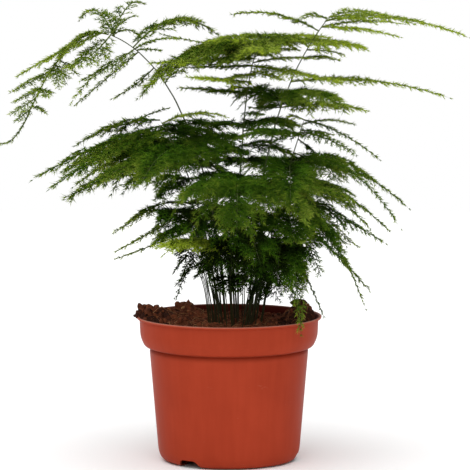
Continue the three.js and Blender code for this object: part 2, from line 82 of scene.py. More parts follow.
for number, lamp in enumerate(studio["lamps"]):
    lampData = bpy.data.lights.new(f"soft_box_{number}", "AREA")
    lampData.size = lamp["width"]
    lampData.energy = lamp["watts"]
    aimed(bpy.data.objects.new(lampData.name, lampData), lamp["place"], lamp["aim"])

# The sky is white where the camera sees it, and a little darker as a light.
sky = bpy.data.worlds.new("sky")
sky.use_nodes = True
skyTree = sky.node_tree
skyTree.nodes.clear()
skyMix = skyTree.nodes.new("ShaderNodeMixShader")
for socket, strength in ((1, studio["skyLight"]), (2, studio["skySeen"])):
    background = skyTree.nodes.new("ShaderNodeBackground")
    background.inputs["Strength"].default_value = strength
    background.inputs["Color"].default_value = (1, 1, 1, 1)
    skyTree.links.new(background.outputs["Background"], skyMix.inputs[socket])
skyPath = skyTree.nodes.new("ShaderNodeLightPath")
skyOut = skyTree.nodes.new("ShaderNodeOutputWorld")
skyTree.links.new(skyPath.outputs["Is Camera Ray"], skyMix.inputs["Fac"])
skyTree.links.new(skyMix.outputs["Shader"], skyOut.inputs["Surface"])
bpy.context.scene.world = sky
bpy.context.scene.view_settings.view_transform = "Standard"
print("camera and lights ready")


# Materials

def startMaterial(name, roughness, specular):
    material = bpy.data.materials.new(name)
    material.use_nodes = True
    shader = material.node_tree.nodes["Principled BSDF"]
    shader.inputs["Roughness"].default_value = roughness
    shader.inputs["Specular IOR Level"].default_value = specular
    return material, material.node_tree, shader


def addNode(tree, kind, inputs, output, **settings):
    # An input is a plain value or another node's output.
    node = tree.nodes.new("ShaderNode" + kind)
    for key, value in settings.items():
        setattr(node, key, value)
    for key, value in inputs.items():
        if isinstance(value, bpy.types.NodeSocket):
            tree.links.new(value, node.inputs[key])
        else:
            node.inputs[key].default_value = value
    return node.outputs[output]


def addMath(tree, operation, first, second, clamp=False):
    inputs = {0: first, 1: second}
    return addNode(tree, "Math", inputs, "Value", operation=operation, use_clamp=clamp)


def addBlend(tree, first, second, share):
    # (1 - share) first + share second
    first = addMath(tree, "MULTIPLY", first, 1 - share)
    return addMath(tree, "ADD", first, addMath(tree, "MULTIPLY", second, share))


def addMix(tree, share, color, other):
    inputs = {0: share, 6: color, 7: (*other, 1)}
    return addNode(tree, "Mix", inputs, 2, data_type="RGBA")


def addSlope(tree, value, start, end, low, high):
    # From low at start in a straight line to high at end, and level before and after
    inputs = {0: value, 1: start, 2: end, 3: low, 4: high}
    return addNode(tree, "MapRange", inputs, "Result")


def addRamp(tree, factor, stops):
    node = tree.nodes.new("ShaderNodeValToRGB")
    ends = node.color_ramp.elements
    for end, (place, color) in zip((ends[0], ends[1]), (stops[0], stops[-1])):
        end.position = place
        end.color = (*color, 1)
    for place, color in stops[1:-1]:
        ends.new(place).color = (*color, 1)
    tree.links.new(factor, node.inputs["Fac"])
    return node.outputs["Color"]


def addNoise(tree, place, scale, detail, roughness=0.55):
    inputs = {"Vector": place, "Scale": scale, "Detail": detail, "Roughness": roughness}
    return addNode(tree, "TexNoise", inputs, "Fac")


def objectPlace(tree, stretch=(1, 1, 1)):
    place = addNode(tree, "TexCoord", {}, "Object")
    return addNode(tree, "Mapping", {"Vector": place, "Scale": stretch}, "Vector")


def addAxis(tree, place, axis):
    return addNode(tree, "SeparateXYZ", {"Vector": place}, axis)


def addAttribute(tree, name):
    return addNode(tree, "Attribute", {}, "Fac", attribute_name=name)


def addBump(tree, shader, height, strength, depth):
    inputs = {"Height": height, "Strength": strength, "Distance": depth}
    tree.links.new(addNode(tree, "Bump", inputs, "Normal"), shader.inputs["Normal"])


# Heights and depths are in metres here. A noise is its scale, detail and roughness, and a ramp's
# stops are places and colours.
plastic = {
    "tones": [(0.33, (0.320, 0.0378, 0.0150)), (0.66, (0.380, 0.0475, 0.0195))],
    "roughness": 0.42,
    "specular": 0.03,
    "gloss": [(0.3, (0.36, 0.36, 0.36)), (0.7, (0.5, 0.5, 0.5))],  # its roughness over the clouds
    "clouds": (28, 3.0),
    "streaks": (1.0, 2.0),
    "streakStretch": (260, 260, 9),
    "streakShare": 0.35,
    "scuff": (0.47, 0.15, 0.095),
    "scuffs": (1.0, 5.0, 0.7),
    "scuffStretch": (60, 60, 210),
    "scuffTones": [(0.66, (0, 0, 0)), (0.74, (0.5, 0.5, 0.5))],
    # painted shade on the pot's inside wall
    "inside": (0.085, 0.012, 0.0080),
    "insideEdge": -4.0,  # how sharply the inside begins
    "insideShadeShare": 0.85,
    # painted shade under the shoulder
    "shade": (0.16, 0.015, 0.0060),
    "shadeBelow": (0.0695, 0.0735, 0.0, 0.55),  # between these heights, from and to this share
    "shadeAbove": (0.0740, 0.0755, 1.0, 0.0),
    # a painted highlight along the lip's top edge
    "lipHighlight": (0.62, 0.30, 0.22),
    "lipHighlightBand": (0.0932, 0.0939, 0.0, 0.5),
    "grain": (1400, 2.0),
    "grainHeight": 0.12,
    "waves": (45, 2.0),
    "waveStretch": (1, 1, 0.3),
    "relief": (0.25, 0.0008),  # strength and depth
}


def potPlastic():
    material, tree, shader = startMaterial("terracotta_plastic", plastic["roughness"], plastic["specular"])
    place = objectPlace(tree)
    clouds = addNoise(tree, place, *plastic["clouds"])
    streaks = addNoise(tree, objectPlace(tree, plastic["streakStretch"]), *plastic["streaks"])
    color = addRamp(tree, addBlend(tree, clouds, streaks, plastic["streakShare"]), plastic["tones"])
    # Short pale scuffs, on the ridges of a stretched noise
    marks = addNoise(tree, objectPlace(tree, plastic["scuffStretch"]), *plastic["scuffs"])
    color = addMix(tree, addRamp(tree, marks, plastic["scuffTones"]), color, plastic["scuff"])
    # Painted shade on the pot's inside wall, which turns towards the axis: its normal against the way
    # outwards is below zero.
    outwards = addNode(tree, "VectorMath", {0: place, 1: (1, 1, 0)}, "Vector", operation="MULTIPLY")
    outwards = addNode(tree, "VectorMath", {0: outwards}, "Vector", operation="NORMALIZE")
    normal = addNode(tree, "NewGeometry", {}, "Normal")
    facing = addNode(tree, "VectorMath", {0: outwards, 1: normal}, "Value", operation="DOT_PRODUCT")
    insideShade = addMath(tree, "MULTIPLY", facing, plastic["insideEdge"], clamp=True)
    insideShade = addMath(tree, "MULTIPLY", insideShade, plastic["insideShadeShare"])
    color = addMix(tree, insideShade, color, plastic["inside"])
    # Painted shade under the shoulder, and a painted highlight along the lip's top edge
    height = addAxis(tree, place, "Z")
    below = addSlope(tree, height, *plastic["shadeBelow"])
    above = addSlope(tree, height, *plastic["shadeAbove"])
    color = addMix(tree, addMath(tree, "MULTIPLY", below, above), color, plastic["shade"])
    color = addMix(tree, addSlope(tree, height, *plastic["lipHighlightBand"]), color, plastic["lipHighlight"])
    tree.links.new(color, shader.inputs["Base Color"])
    tree.links.new(addRamp(tree, clouds, plastic["gloss"]), shader.inputs["Roughness"])
    grain = addMath(tree, "MULTIPLY", addNoise(tree, place, *plastic["grain"]), plastic["grainHeight"])
    waves = addNoise(tree, objectPlace(tree, plastic["waveStretch"]), *plastic["waves"])
    addBump(tree, shader, addMath(tree, "ADD", grain, waves), *plastic["relief"])
    return material


peatLook = {
    "tones": [
        (0.05, (0.040, 0.0110, 0.0048)), (0.32, (0.232, 0.0650, 0.0262)),
        (0.62, (0.400, 0.1350, 0.0540)), (1.0, (0.550, 0.2900, 0.1300)),
    ],
    "roughness": 0.92,
    "specular": 0.2,
    "grains": (260, 5.0, 0.7),
    "patches": (55, 2.0),
    "patchShare": 0.4,
    "groundLevel": 0.32,
    "contrast": 1.3,
    # painted shade at either side of the peat
    "sideShade": [(0.012, 0.045, 0.25), (-0.020, -0.045, 0.16)],  # from x to x, and how much darker
    "crumble": (900, 4.0, 0.7),
    "relief": (0.7, 0.0008),
}


def peatMaterial(name, toneShare):
    material, tree, shader = startMaterial(name, peatLook["roughness"], peatLook["specular"])
    place = objectPlace(tree)
    grains = addNoise(tree, place, *peatLook["grains"])
    patches = addNoise(tree, place, *peatLook["patches"])
    ground = addBlend(tree, grains, patches, peatLook["patchShare"])
    ground = addMath(tree, "SUBTRACT", ground, peatLook["groundLevel"])
    ground = addMath(tree, "MULTIPLY", ground, peatLook["contrast"])
    tone = addMath(tree, "MULTIPLY", addAttribute(tree, "tone"), toneShare)
    mixed = addMath(tree, "ADD", tone, ground)
    # Painted shade, darker at either side
    across = addAxis(tree, place, "X")
    for near, far, share in peatLook["sideShade"]:
        mixed = addMath(tree, "SUBTRACT", mixed, addSlope(tree, across, near, far, 0.0, share))
    tree.links.new(addRamp(tree, mixed, peatLook["tones"]), shader.inputs["Base Color"])
    addBump(tree, shader, addNoise(tree, place, *peatLook["crumble"]), *peatLook["relief"])
    return material


leafLook = {
    "tones": [
        (0.0, (0.005, 0.010, 0.0010)), (0.2, (0.014, 0.042, 0.0024)),
        (0.45, (0.039, 0.094, 0.0056)), (0.7, (0.124, 0.203, 0.0160)),
        (1.0, (0.310, 0.430, 0.0210)),
    ],
    "roughness": 0.8,
    "specular": 0.02,
    "glowWeight": 0.35,  # light let through the needles
    "glowRadius": (1.0, 1.0, 0.6),
    "glowDepth": 0.001,
    "patches": (38, 3.0),
    "patchShare": 0.5,
}
stalkLook = {
    "tones": [
        (0.0, (0.020, 0.028, 0.0070)), (0.4, (0.055, 0.080, 0.0140)), (1.0, (0.200, 0.260, 0.0300)),
    ],
    "woody": (0.066, 0.042, 0.0190),
    "woodyFoot": (0.086, 0.108, 0.8, 0.0),
    "roughness": 0.55,
    "specular": 0.15,
    "streaks": (1.0, 3.0),
    "streakStretch": (900, 900, 60),
    "streakShare": 0.4,
    "relief": (0.3, 0.0003),
}


def addUnevenTone(tree, noise, share, clamp):
    # The freshness of each point, with its painted light and shade, plus a share of how far the noise is
    # from its middle
    uneven = addMath(tree, "MULTIPLY", addMath(tree, "SUBTRACT", noise, 0.5), share)
    return addMath(tree, "ADD", addAttribute(tree, "freshAndPaintedLight"), uneven, clamp=clamp)


def leafMaterial():
    material, tree, shader = startMaterial("fern_needles", leafLook["roughness"], leafLook["specular"])
    shader.inputs["Subsurface Weight"].default_value = leafLook["glowWeight"]
    shader.inputs["Subsurface Radius"].default_value = leafLook["glowRadius"]
    shader.inputs["Subsurface Scale"].default_value = leafLook["glowDepth"]
    patches = addNoise(tree, objectPlace(tree), *leafLook["patches"])
    tone = addUnevenTone(tree, patches, leafLook["patchShare"], True)
    tree.links.new(addRamp(tree, tone, leafLook["tones"]), shader.inputs["Base Color"])
    return material


def stalkMaterial():
    material, tree, shader = startMaterial("fern_stalks", stalkLook["roughness"], stalkLook["specular"])
    streaks = addNoise(tree, objectPlace(tree, stalkLook["streakStretch"]), *stalkLook["streaks"])
    tone = addUnevenTone(tree, streaks, stalkLook["streakShare"], False)
    color = addRamp(tree, tone, stalkLook["tones"])
    # Brown and woody where the stems leave the peat
    height = addAxis(tree, objectPlace(tree), "Z")
    wood = addSlope(tree, height, *stalkLook["woodyFoot"])
    tree.links.new(addMix(tree, wood, color, stalkLook["woody"]), shader.inputs["Base Color"])
    addBump(tree, shader, streaks, *stalkLook["relief"])
    return material


potFinish = potPlastic()
bedFinish = peatMaterial("peat_bed", 0.0)
crumbFinish = peatMaterial("peat_crumbs", 1.0)
leafFinish = leafMaterial()
stalkFinish = stalkMaterial()
print("materials ready")


# Meshes

def unit(vectors):
    # Each vector over its own length
    return vectors / np.linalg.norm(vectors, axis=-1, keepdims=True)


def joinBlocks(blocks):
    # A block is its points, a list of face arrays, a value at each point and a material number.
    points, faces, values, slots, first = [], [], [], [], 0
    for blockPoints, blockFaces, blockValues, slot in blocks:
        points.append(blockPoints)
        faces += [block + first for block in blockFaces]
        slots += [np.full(len(block), slot) for block in blockFaces]
        values.append(blockValues)
        first += len(blockPoints)
    return np.concatenate(points), faces, np.concatenate(values), np.concatenate(slots)


def meshFrom(name, points, faces, finishes, slots=None, attribute=None, values=None):
    # A face array holds the point numbers of faces with equally many corners, a row for each face.
    mesh = bpy.data.meshes.new(name)
    corners = np.concatenate([block.ravel() for block in faces]).astype(np.int32)
    sizes = np.concatenate([np.full(len(block), block.shape[1]) for block in faces])
    mesh.vertices.add(len(points))
    mesh.vertices.foreach_set("co", (points * millimetre).astype(np.float32).ravel())
    mesh.loops.add(len(corners))
    mesh.loops.foreach_set("vertex_index", corners)
    mesh.polygons.add(len(sizes))
    mesh.polygons.foreach_set("loop_start", (np.cumsum(sizes) - sizes).astype(np.int32))
    mesh.polygons.foreach_set("use_smooth", np.ones(len(sizes), bool))
    for finish in finishes:
        mesh.materials.append(finish)
    if slots is not None:
        mesh.polygons.foreach_set("material_index", slots.astype(np.int32))
    if attribute:
        layer = mesh.attributes.new(attribute, "FLOAT", "POINT")
        layer.data.foreach_set("value", values.astype(np.float32))
    mesh.update(calc_edges=True)
    return mesh


def addPiece(name, mesh, node):
    piece = bpy.data.objects.new(name, mesh)
    bpy.context.scene.collection.objects.link(piece)
    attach(piece, "root")
    if node:
        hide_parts(node)
    triangles = sum(len(polygon.vertices) - 2 for polygon in mesh.polygons)
    print(f"{name}: {triangles} triangles")


sameWithin = 1e-4  # millimetres


def roundedProfile(corners, steps):
    # A corner (across, along, cut) becomes a quadratic curve between the points that lie cut before and
    # after it: corner + before (1-t)^2 + after t^2. Equal points that follow each other are left out.
    corners = np.array(corners, float)
    place, cut = corners[:, :2], corners[:, 2:]
    before = unit(np.roll(place, 1, axis=0) - place) * cut
    after = unit(np.roll(place, -1, axis=0) - place) * cut
    t = np.linspace(0, 1, steps)[:, None]
    curve = place[:, None] + before[:, None] * (1 - t) ** 2 + after[:, None] * t**2
    curve = curve.reshape(-1, 2)
    step = np.linalg.norm(np.diff(curve, axis=0), axis=1)
    return curve[np.append(True, step > sameWithin)]


def turned(profile, sides):
    # A profile (radius, height) whose two ends lie on the axis, turned round it:
    # x = radius cos a, y = radius sin a, with one point at each end.
    rings = profile[1:-1]
    a = np.linspace(0, 2 * np.pi, sides, endpoint=False)
    x = rings[:, :1] * np.cos(a)
    y = rings[:, :1] * np.sin(a)
    z = np.broadcast_to(rings[:, 1:], x.shape)
    ends = np.array([[0, 0, profile[0, 1]], [0, 0, profile[-1, 1]]])
    points = np.concatenate([np.stack([x, y, z], axis=-1).reshape(-1, 3), ends])
    return points, ringFaces(len(rings), sides)


def ringFaces(rings, sides):
    # Quads between rings of points, and fans to the two end points that follow the rings
    index = np.arange(rings * sides).reshape(rings, sides)
    following = np.roll(index, -1, axis=1)
    quads = np.stack([index[:-1], following[:-1], following[1:], index[1:]], axis=-1).reshape(-1, 4)
    start = np.full(sides, rings * sides)
    low = np.stack([start, following[0], index[0]], axis=-1)
    high = np.stack([start + 1, index[-1], following[-1]], axis=-1)
    return [quads, np.concatenate([low, high])]


def tubes(paths, radii, across, sides):
    # Many tubes at once, each round a path of points (tube, step, xyz). At every step but the last it has
    # a ring, square to the path: point = path + radius (side cos a + other sin a). The last has one point.
    # across is a direction that its path never runs along.
    count, steps = paths.shape[:2]
    along = unit(np.gradient(paths, axis=1)) if steps > 2 else unit(np.diff(paths, axis=1))
    along = along[:, : steps - 1]
    side = unit(np.cross(along, across[:, None]))
    other = np.cross(along, side)
    a = 2 * np.pi * np.arange(sides)[:, None] / sides
    ring = side[:, :, None] * np.cos(a) + other[:, :, None] * np.sin(a)
    rings = paths[:, :-1, None] + ring * radii[:, : steps - 1, None, None]
    points = np.concatenate([rings.reshape(-1, 3), paths[:, -1]])
    index = np.arange(rings.size // 3).reshape(count, steps - 1, sides)
    following = np.roll(index, -1, axis=2)
    tips = np.broadcast_to((rings.size // 3 + np.arange(count))[:, None], (count, sides))
    ends = np.stack([index[:, -1], following[:, -1], tips], axis=-1).reshape(-1, 3)
    faces = [index[:, 0, ::-1], ends]
    if steps > 2:
        quads = np.stack([index[:, :-1], following[:, :-1], following[:, 1:], index[:, 1:]], axis=-1)
        faces.append(quads.reshape(-1, 4))
    return points, faces


def tubeValues(values, sides):
    # One value at every step of each path, spread to the points that tubes makes
    rings = np.repeat(values[:, :-1, None], sides, axis=2)
    return np.concatenate([rings.ravel(), values[:, -1]])


# A whole-number hash: a prime for each axis and for the seed, a factor, and the 32 bits that are kept
hashPrimes = np.array([73856093, 19349663, 83492791])
seedPrime = 40503
hashFactor = 1274126177
hashMask = 0xFFFFFFFF


def latticeNoise(points, cell, seed):
    # Every corner of a cubic lattice holds a value from -1 to 1, made of 16 bits of its hash, and a
    # point takes the smoothstep blend of the eight round it.
    place = points / cell
    low = np.floor(place).astype(np.int64)
    share = place - low
    share = share * share * (3 - 2 * share)
    total = np.zeros(points.shape[:-1])
    for corner in np.ndindex(2, 2, 2):
        spot = (low + np.array(corner)) * hashPrimes
        mixed = spot[..., 0] ^ spot[..., 1] ^ spot[..., 2] ^ seed * seedPrime
        mixed = (mixed & hashMask) * hashFactor & hashMask
        value = ((mixed >> 13) & 0xFFFF) / 32767.5 - 1
        weight = np.prod(np.where(corner, share, 1 - share), axis=-1)
        total += value * weight
    return total


# Floor
floorFinish, _, floorShader = startMaterial("pale_floor", studio["floorRoughness"], 0.0)
floorShader.inputs["Base Color"].default_value = (*[studio["floorShade"]] * 3, 1)
under, over = studio["floorLevels"]
floorEdge = studio["floorRadius"]
floorProfile = np.array([[0, under], [floorEdge, under], [floorEdge, over], [0, over]])
floorMesh = meshFrom("floor", *turned(floorProfile, studio["floorSides"]), [floorFinish])
floorMesh.shade_flat()
floor = bpy.data.objects.new("floor", floorMesh)
bpy.context.scene.collection.objects.link(floor)

# Pot
pot = {
    "sides": 144,
    "cornerSteps": 5,
    "smoothBelow": 40,  # degrees between faces
    "drains": (-126, -6, 114),  # degrees
    "drainOutline": [(-9.5, -1, 0), (9.5, -1, 0), (9.0, 0, 0), (5.6, 5, 1.9), (-5.6, 5, 1.9), (-9.0, 0, 0)],
    "drainSteps": 6,
    "drainReach": (32.5, 51.3),
    "profile": [  # radius, height, cut of the corner
        (0, 0, 0), (18, 0, 0.8), (21, 3.6, 1.0), (33.5, 3.6, 0.8), (35.5, 0, 0.6), (38.9, 0, 1.4),
        (43.6, 1.1, 2.4), (45.8, 6.2, 2.6), (51.4, 71.8, 1.2), (50.4, 73.6, 0.3),
        (54.4, 74.5, 1.5), (57.4, 80.0, 3.8), (57.9, 92.2, 0.3), (59.8, 92.7, 0.3), (60, 94, 0.6),
        (58.3, 94, 0.5), (56.6, 91.6, 1.2), (56.1, 81.2, 1.6), (54.3, 77.2, 1.2), (49.5, 74.8, 0.8),
        (44.6, 6.0, 2.0), (42.2, 1.8, 1.0), (38.6, 1.2, 0.6), (36.1, 1.2, 0.5), (33.9, 4.7, 0.5),
        (20.5, 4.7, 0.5), (17.5, 1.1, 0.5), (0, 1.1, 0),
    ],
}


def drainBlocks():
    # The outline of an arch (across, up), with its corners rounded, carried outwards through the foot
    blocks = []
    outline = roundedProfile(pot["drainOutline"], pot["drainSteps"])[:-1]
    count = len(outline)
    near = np.arange(count)
    following = np.roll(near, -1)
    walls = np.stack([following, following + count, near + count, near], axis=-1)
    faces = [walls, near[None, ::-1], near[None] + count]
    for a in np.radians(pot["drains"]):
        outwards = np.array([np.cos(a), np.sin(a), 0])
        across = np.array([-np.sin(a), np.cos(a), 0])
        flat = outline[:, :1] * across + outline[:, 1:] * upward
        points = np.concatenate([flat + outwards * reach for reach in pot["drainReach"]])
        blocks.append((points, faces, np.zeros(2 * count), 0))
    return blocks


def cutPot():
    # The turned pot, with the drains cut through its foot
    profile = roundedProfile(pot["profile"], pot["cornerSteps"])
    uncutMesh = meshFrom("nursery_pot", *turned(profile, pot["sides"]), [potFinish])
    drainMesh = meshFrom("drain_cutter", *joinBlocks(drainBlocks())[:2], [potFinish])
    uncut = bpy.data.objects.new("uncut_pot", uncutMesh)
    cutter = bpy.data.objects.new("drain_cutter", drainMesh)
    for thing in (cutter, uncut):
        bpy.context.scene.collection.objects.link(thing)
    cut = uncut.modifiers.new("drains", "BOOLEAN")
    cut.operation = "DIFFERENCE"
    cut.solver = "EXACT"
    cut.object = cutter
    depsgraph = bpy.context.evaluated_depsgraph_get()
    mesh = bpy.data.meshes.new_from_object(uncut.evaluated_get(depsgraph))
    for thing in (cutter, uncut):
        bpy.data.objects.remove(thing)
    mesh.set_sharp_from_angle(angle=np.radians(pot["smoothBelow"]))
    return mesh


addPiece("nursery_pot", cutPot(), "pot")

# Peat
peat = {
    "level": 88,
    "roll": (1.3, 0.21, 0.6, 0.17, -0.4),  # height, then pace and start along x and y
    "ripple": (0.9, 0.31, 0.43),  # height, then pace along x and y
    "heaps": [(-46, 8, 8, 14), (-30, 38, 7, 14), (47, 12, 12, 12), (28, -40, 3, 16)],  # x, y, height, width
    "sides": 220,
    "rings": 84,
    "edge": 55.9,
    "wall": [(55.2, 82.6), (53.7, 78.6), (48.8, 72.6), (43.4, 7.7), (37.8, 6.2)],  # radius, height
    "crumbs": [(5.0, 1.7), (2.3, 1.0), (1.1, 0.5)],  # their size, and their height against crumbRise
    "crumbRise": 1.5,
    "crumbFoot": 0.35,  # the level of the folded noise that lies on the rolling surface
    "calmEdge": (57.5, 3, 0.2),  # calmer within 3 mm of this radius, down to this share
    "seed": 11,
}


def peatHeight(x, y):
    # The rolling surface of the solid: slow waves, ripples and bell-shaped heaps
    high, paceX, startX, paceY, startY = peat["roll"]
    height = peat["level"] + high * np.sin(paceX * x + startX) * np.cos(paceY * y + startY)
    high, paceX, paceY = peat["ripple"]
    height = height + high * np.sin(paceY * y + paceX * x)
    for middleX, middleY, rise, width in peat["heaps"]:
        height = height + rise * np.exp(-((x - middleX) ** 2 + (y - middleY) ** 2) / width**2)
    return height


def peatSurface(x, y):
    # The rolling surface with crumbs: noise folded upwards at three sizes, less of it at the edge
    flat = np.stack([x, y, np.zeros_like(x)], axis=-1)
    crumbs = 0
    for cell, rise in peat["crumbs"]:
        crumbs = crumbs + rise * (np.abs(latticeNoise(flat, cell, peat["seed"])) - peat["crumbFoot"])
    edge, width, least = peat["calmEdge"]
    calm = np.clip((edge - np.hypot(x, y)) / width, least, 1)
    return peatHeight(x, y) + peat["crumbRise"] * crumbs * calm


def peatBed():
    # Rings from the middle of the surface out to its edge, then down the wall to the floor
    sides, rings = peat["sides"], peat["rings"]
    a = np.linspace(0, 2 * np.pi, sides, endpoint=False)
    radius = peat["edge"] * (np.arange(1, rings + 1) / rings)[:, None]
    x, y = radius * np.cos(a), radius * np.sin(a)
    top = np.stack([x, y, peatSurface(x, y)], axis=-1)
    wall = np.array(peat["wall"], float)
    circle = wall[:, None, :1] * np.stack([np.cos(a), np.sin(a)], axis=-1)
    heights = np.broadcast_to(wall[:, None, 1:], (len(wall), sides, 1))
    low = np.concatenate([circle, heights], axis=-1)
    centre = peatSurface(np.zeros(1), np.zeros(1))[0]
    ends = np.array([[0, 0, centre], [0, 0, wall[-1, 1]]])
    points = np.concatenate([np.concatenate([top, low]).reshape(-1, 3), ends])
    faces = ringFaces(rings + len(wall), sides)
    return points, [block[:, ::-1] for block in faces]


bedPoints, bedFaces = peatBed()
bedMesh = meshFrom("peat_bed", bedPoints, bedFaces, [bedFinish], None, "tone", np.zeros(len(bedPoints)))
addPiece("peat_bed", bedMesh, "peat")

# Loose crumbs and fibres. Where a pair of values gives a size, a tone or a flatness, it is the least
# one and how much a random share adds.
loose = {
    "seed": 23,
    "small": {
        "count": 820, "reach": 54.5, "size": (0.45, 0.95), "power": 2, "lift": (0, 0.25),
        "flatness": (0.5, 0.4), "detail": (2, 5), "tone": (0, 0.35), "seed": 3,
    },
    "large": {
        "count": 150, "reach": 53, "size": (1.2, 1.6), "power": 1.5, "lift": (0, 0.3),
        "flatness": (0.5, 0.4), "detail": (5, 9), "tone": (0, 0.2), "seed": 4,
    },
    "chips": {
        "count": 26, "reach": 54.5, "size": (0.8, 0.8), "power": 1, "lift": (0.5, 0),
        "flatness": (0.3, 0), "detail": (3, 6), "tone": (0.6, 0.5), "seed": 6,
    },
    "rim": {"flatness": 0.75, "detail": (6, 10), "tone": (0, 0.15), "seed": 5},
    "rimCrumbs": [  # x, y, height of the middle, size
        (-57.6, -3, 95.2, 2.6), (-59.4, -9, 94.7, 1.7), (-58.8, 4, 95.6, 2.4), (-56.2, 12, 97.0, 3.0),
        (-60.2, -1, 94.2, 1.3), (-55.6, -14, 94.4, 2.0), (-57.4, 9, 95.4, 2.2), (-54.0, 20, 96.4, 2.8),
        (-60.6, -6, 94.5, 1.1), (-53.8, -20, 94.4, 1.5), (-50.8, 8, 96.8, 3.0), (-47.0, 14, 97.0, 2.6),
        (-33.0, 36, 96.0, 3.0), (-26.0, 40, 95.2, 2.8), (-52.4, 3, 96.4, 2.6), (47.0, 10, 100.0, 2.8),
        (43.0, 16, 100.4, 2.6), (52.0, 12, 97.5, 2.2),
    ],
    "stretch": (1.25, 0.7),  # of a crumb's first two axes; its flatness is that of the third
    "bulge": (0.55, 0.75),  # how far noise pulls a crumb out of round, and the noise's cell
    "spread": 7.3,  # of the crumbs' places in that noise
}


def ball(rings, sides):
    # A closed ball: (sin b cos a, sin b sin a, -cos b), with one point at each pole
    b = np.pi * np.arange(1, rings + 1) / (rings + 1)
    arc = np.stack([np.sin(b), -np.cos(b)], axis=-1)
    return turned(np.concatenate([[[0, -1.0]], arc, [[0, 1.0]]]), sides)


def lumps(middles, sizes, flatness, detail, tones, seed, rng):
    # Balls pulled out of round by noise, stretched, squashed by flatness and turned at random:
    # point = middle + size (ball * bulge * stretch turned into the lump's own axes)
    shape, faces = ball(*detail)
    depth, cell = loose["bulge"]
    bulge = 1 + depth * latticeNoise(shape + middles[:, None] * loose["spread"], cell, seed)
    stretch = np.column_stack([np.tile(loose["stretch"], (len(sizes), 1)), flatness])
    points = shape * bulge[..., None] * stretch[:, None]
    turn = unit(rng.normal(size=(len(middles), 3)))
    first = unit(np.cross(turn, rng.normal(size=(len(middles), 3))))
    axes = np.stack([first, np.cross(turn, first), turn], axis=1)
    points = middles[:, None] + np.einsum("nvi,nij->nvj", points, axes) * sizes[:, None, None]
    offsets = (np.arange(len(middles)) * len(shape))[:, None, None]
    allFaces = [(block + offsets).reshape(-1, block.shape[1]) for block in faces]
    return points.reshape(-1, 3), allFaces, np.repeat(tones, len(shape)), 0


def scattered(count, rng, reach):
    # Places spread evenly over a disc, as (x, y)
    radius = reach * np.sqrt(rng.random(count))
    a = 2 * np.pi * rng.random(count)
    return radius * np.cos(a), radius * np.sin(a)


def drawn(pair, count, rng, power=1):
    # least + more random^power; nothing is drawn where all are the same
    least, more = pair
    return least + more * rng.random(count) ** power if more else np.full(count, least)


def scatteredLumps(kind, rng):
    # Each lump's middle lies at surface + lift + share * size.
    x, y = scattered(kind["count"], rng, kind["reach"])
    sizes = drawn(kind["size"], len(x), rng, kind["power"])
    lift, share = kind["lift"]
    middles = np.stack([x, y, peatSurface(x, y) + (lift + share * sizes)], axis=-1)
    flatness = drawn(kind["flatness"], len(x), rng)
    tones = drawn(kind["tone"], len(x), rng)
    return lumps(middles, sizes, flatness, kind["detail"], tones, kind["seed"], rng)


def rimLumps(rng):
    # Crumbs at listed places on the rim and the heaps
    places, rim = np.array(loose["rimCrumbs"]), loose["rim"]
    flatness = np.full(len(places), rim["flatness"])
    tones = drawn(rim["tone"], len(places), rng)
    return lumps(places[:, :3], places[:, 3], flatness, rim["detail"], tones, rim["seed"], rng)


def looseCrumbs():
    rng = np.random.default_rng(loose["seed"])
    blocks = [scatteredLumps(loose["small"], rng), scatteredLumps(loose["large"], rng)]
    blocks += [rimLumps(rng), scatteredLumps(loose["chips"], rng)]
    return joinBlocks(blocks)


crumbPoints, crumbFaces, crumbTones, _ = looseCrumbs()
crumbMesh = meshFrom("peat_crumbs", crumbPoints, crumbFaces, [crumbFinish], None, "tone", crumbTones)
addPiece("peat_crumbs", crumbMesh, None)

fibre = {
    "seed": 24,
    "count": 460,
    "reach": 52,
    "length": (6, 16),
    "lengthPower": 1.6,
    "bow": 0.16,  # against its length
    "rise": (0.5, 2.2),
    "risePower": 3,
    "above": 0.3,  # the peat
    "inside": 54.5,  # the radius that none of it passes
    "radius": (0.1, 0.09),
    "taper": 0.5,
    "tone": (0.2, 0.65),
    "steps": 8,
    "sides": 3,
    "twist": 0.05,
}


def looseFibres():
    # Coir fibres: each runs on from its start along a heading, bows to one side and rises in the middle.
    rng = np.random.default_rng(fibre["seed"])
    count = fibre["count"]
    x, y = scattered(count, rng, fibre["reach"])
    heading = 2 * np.pi * rng.random(count)
    length = drawn(fibre["length"], count, rng, fibre["lengthPower"])
    bow = rng.normal(size=count) * fibre["bow"] * length
    rise = drawn(fibre["rise"], count, rng, fibre["risePower"])
    t = np.linspace(0, 1, fibre["steps"])
    curve = np.sin(np.pi * t)
    pathX = x[:, None] + np.outer(np.cos(heading) * length, t) - np.outer(np.sin(heading) * bow, curve)
    pathY = y[:, None] + np.outer(np.sin(heading) * length, t) + np.outer(np.cos(heading) * bow, curve)
    inwards = np.minimum(1, fibre["inside"] / np.hypot(pathX, pathY))
    pathX, pathY = pathX * inwards, pathY * inwards
    heights = peatHeight(pathX, pathY) + fibre["above"] + np.outer(rise, curve)
    paths = np.stack([pathX, pathY, heights], axis=-1)
    radii = np.outer(drawn(fibre["radius"], count, rng), 1 - fibre["taper"] * t)
    across = np.broadcast_to(upward, (count, 3)) + rng.normal(size=(count, 3)) * fibre["twist"]
    points, faces = tubes(paths, radii, across, fibre["sides"])
    tones = np.repeat(drawn(fibre["tone"], count, rng)[:, None], len(t), axis=1)
    return points, faces, tubeValues(tones, fibre["sides"])


fibrePoints, fibreFaces, fibreTones = looseFibres()
fibreMesh = meshFrom("peat_fibres", fibrePoints, fibreFaces, [crumbFinish], None, "tone", fibreTones)
addPiece("peat_fibres", fibreMesh, None)

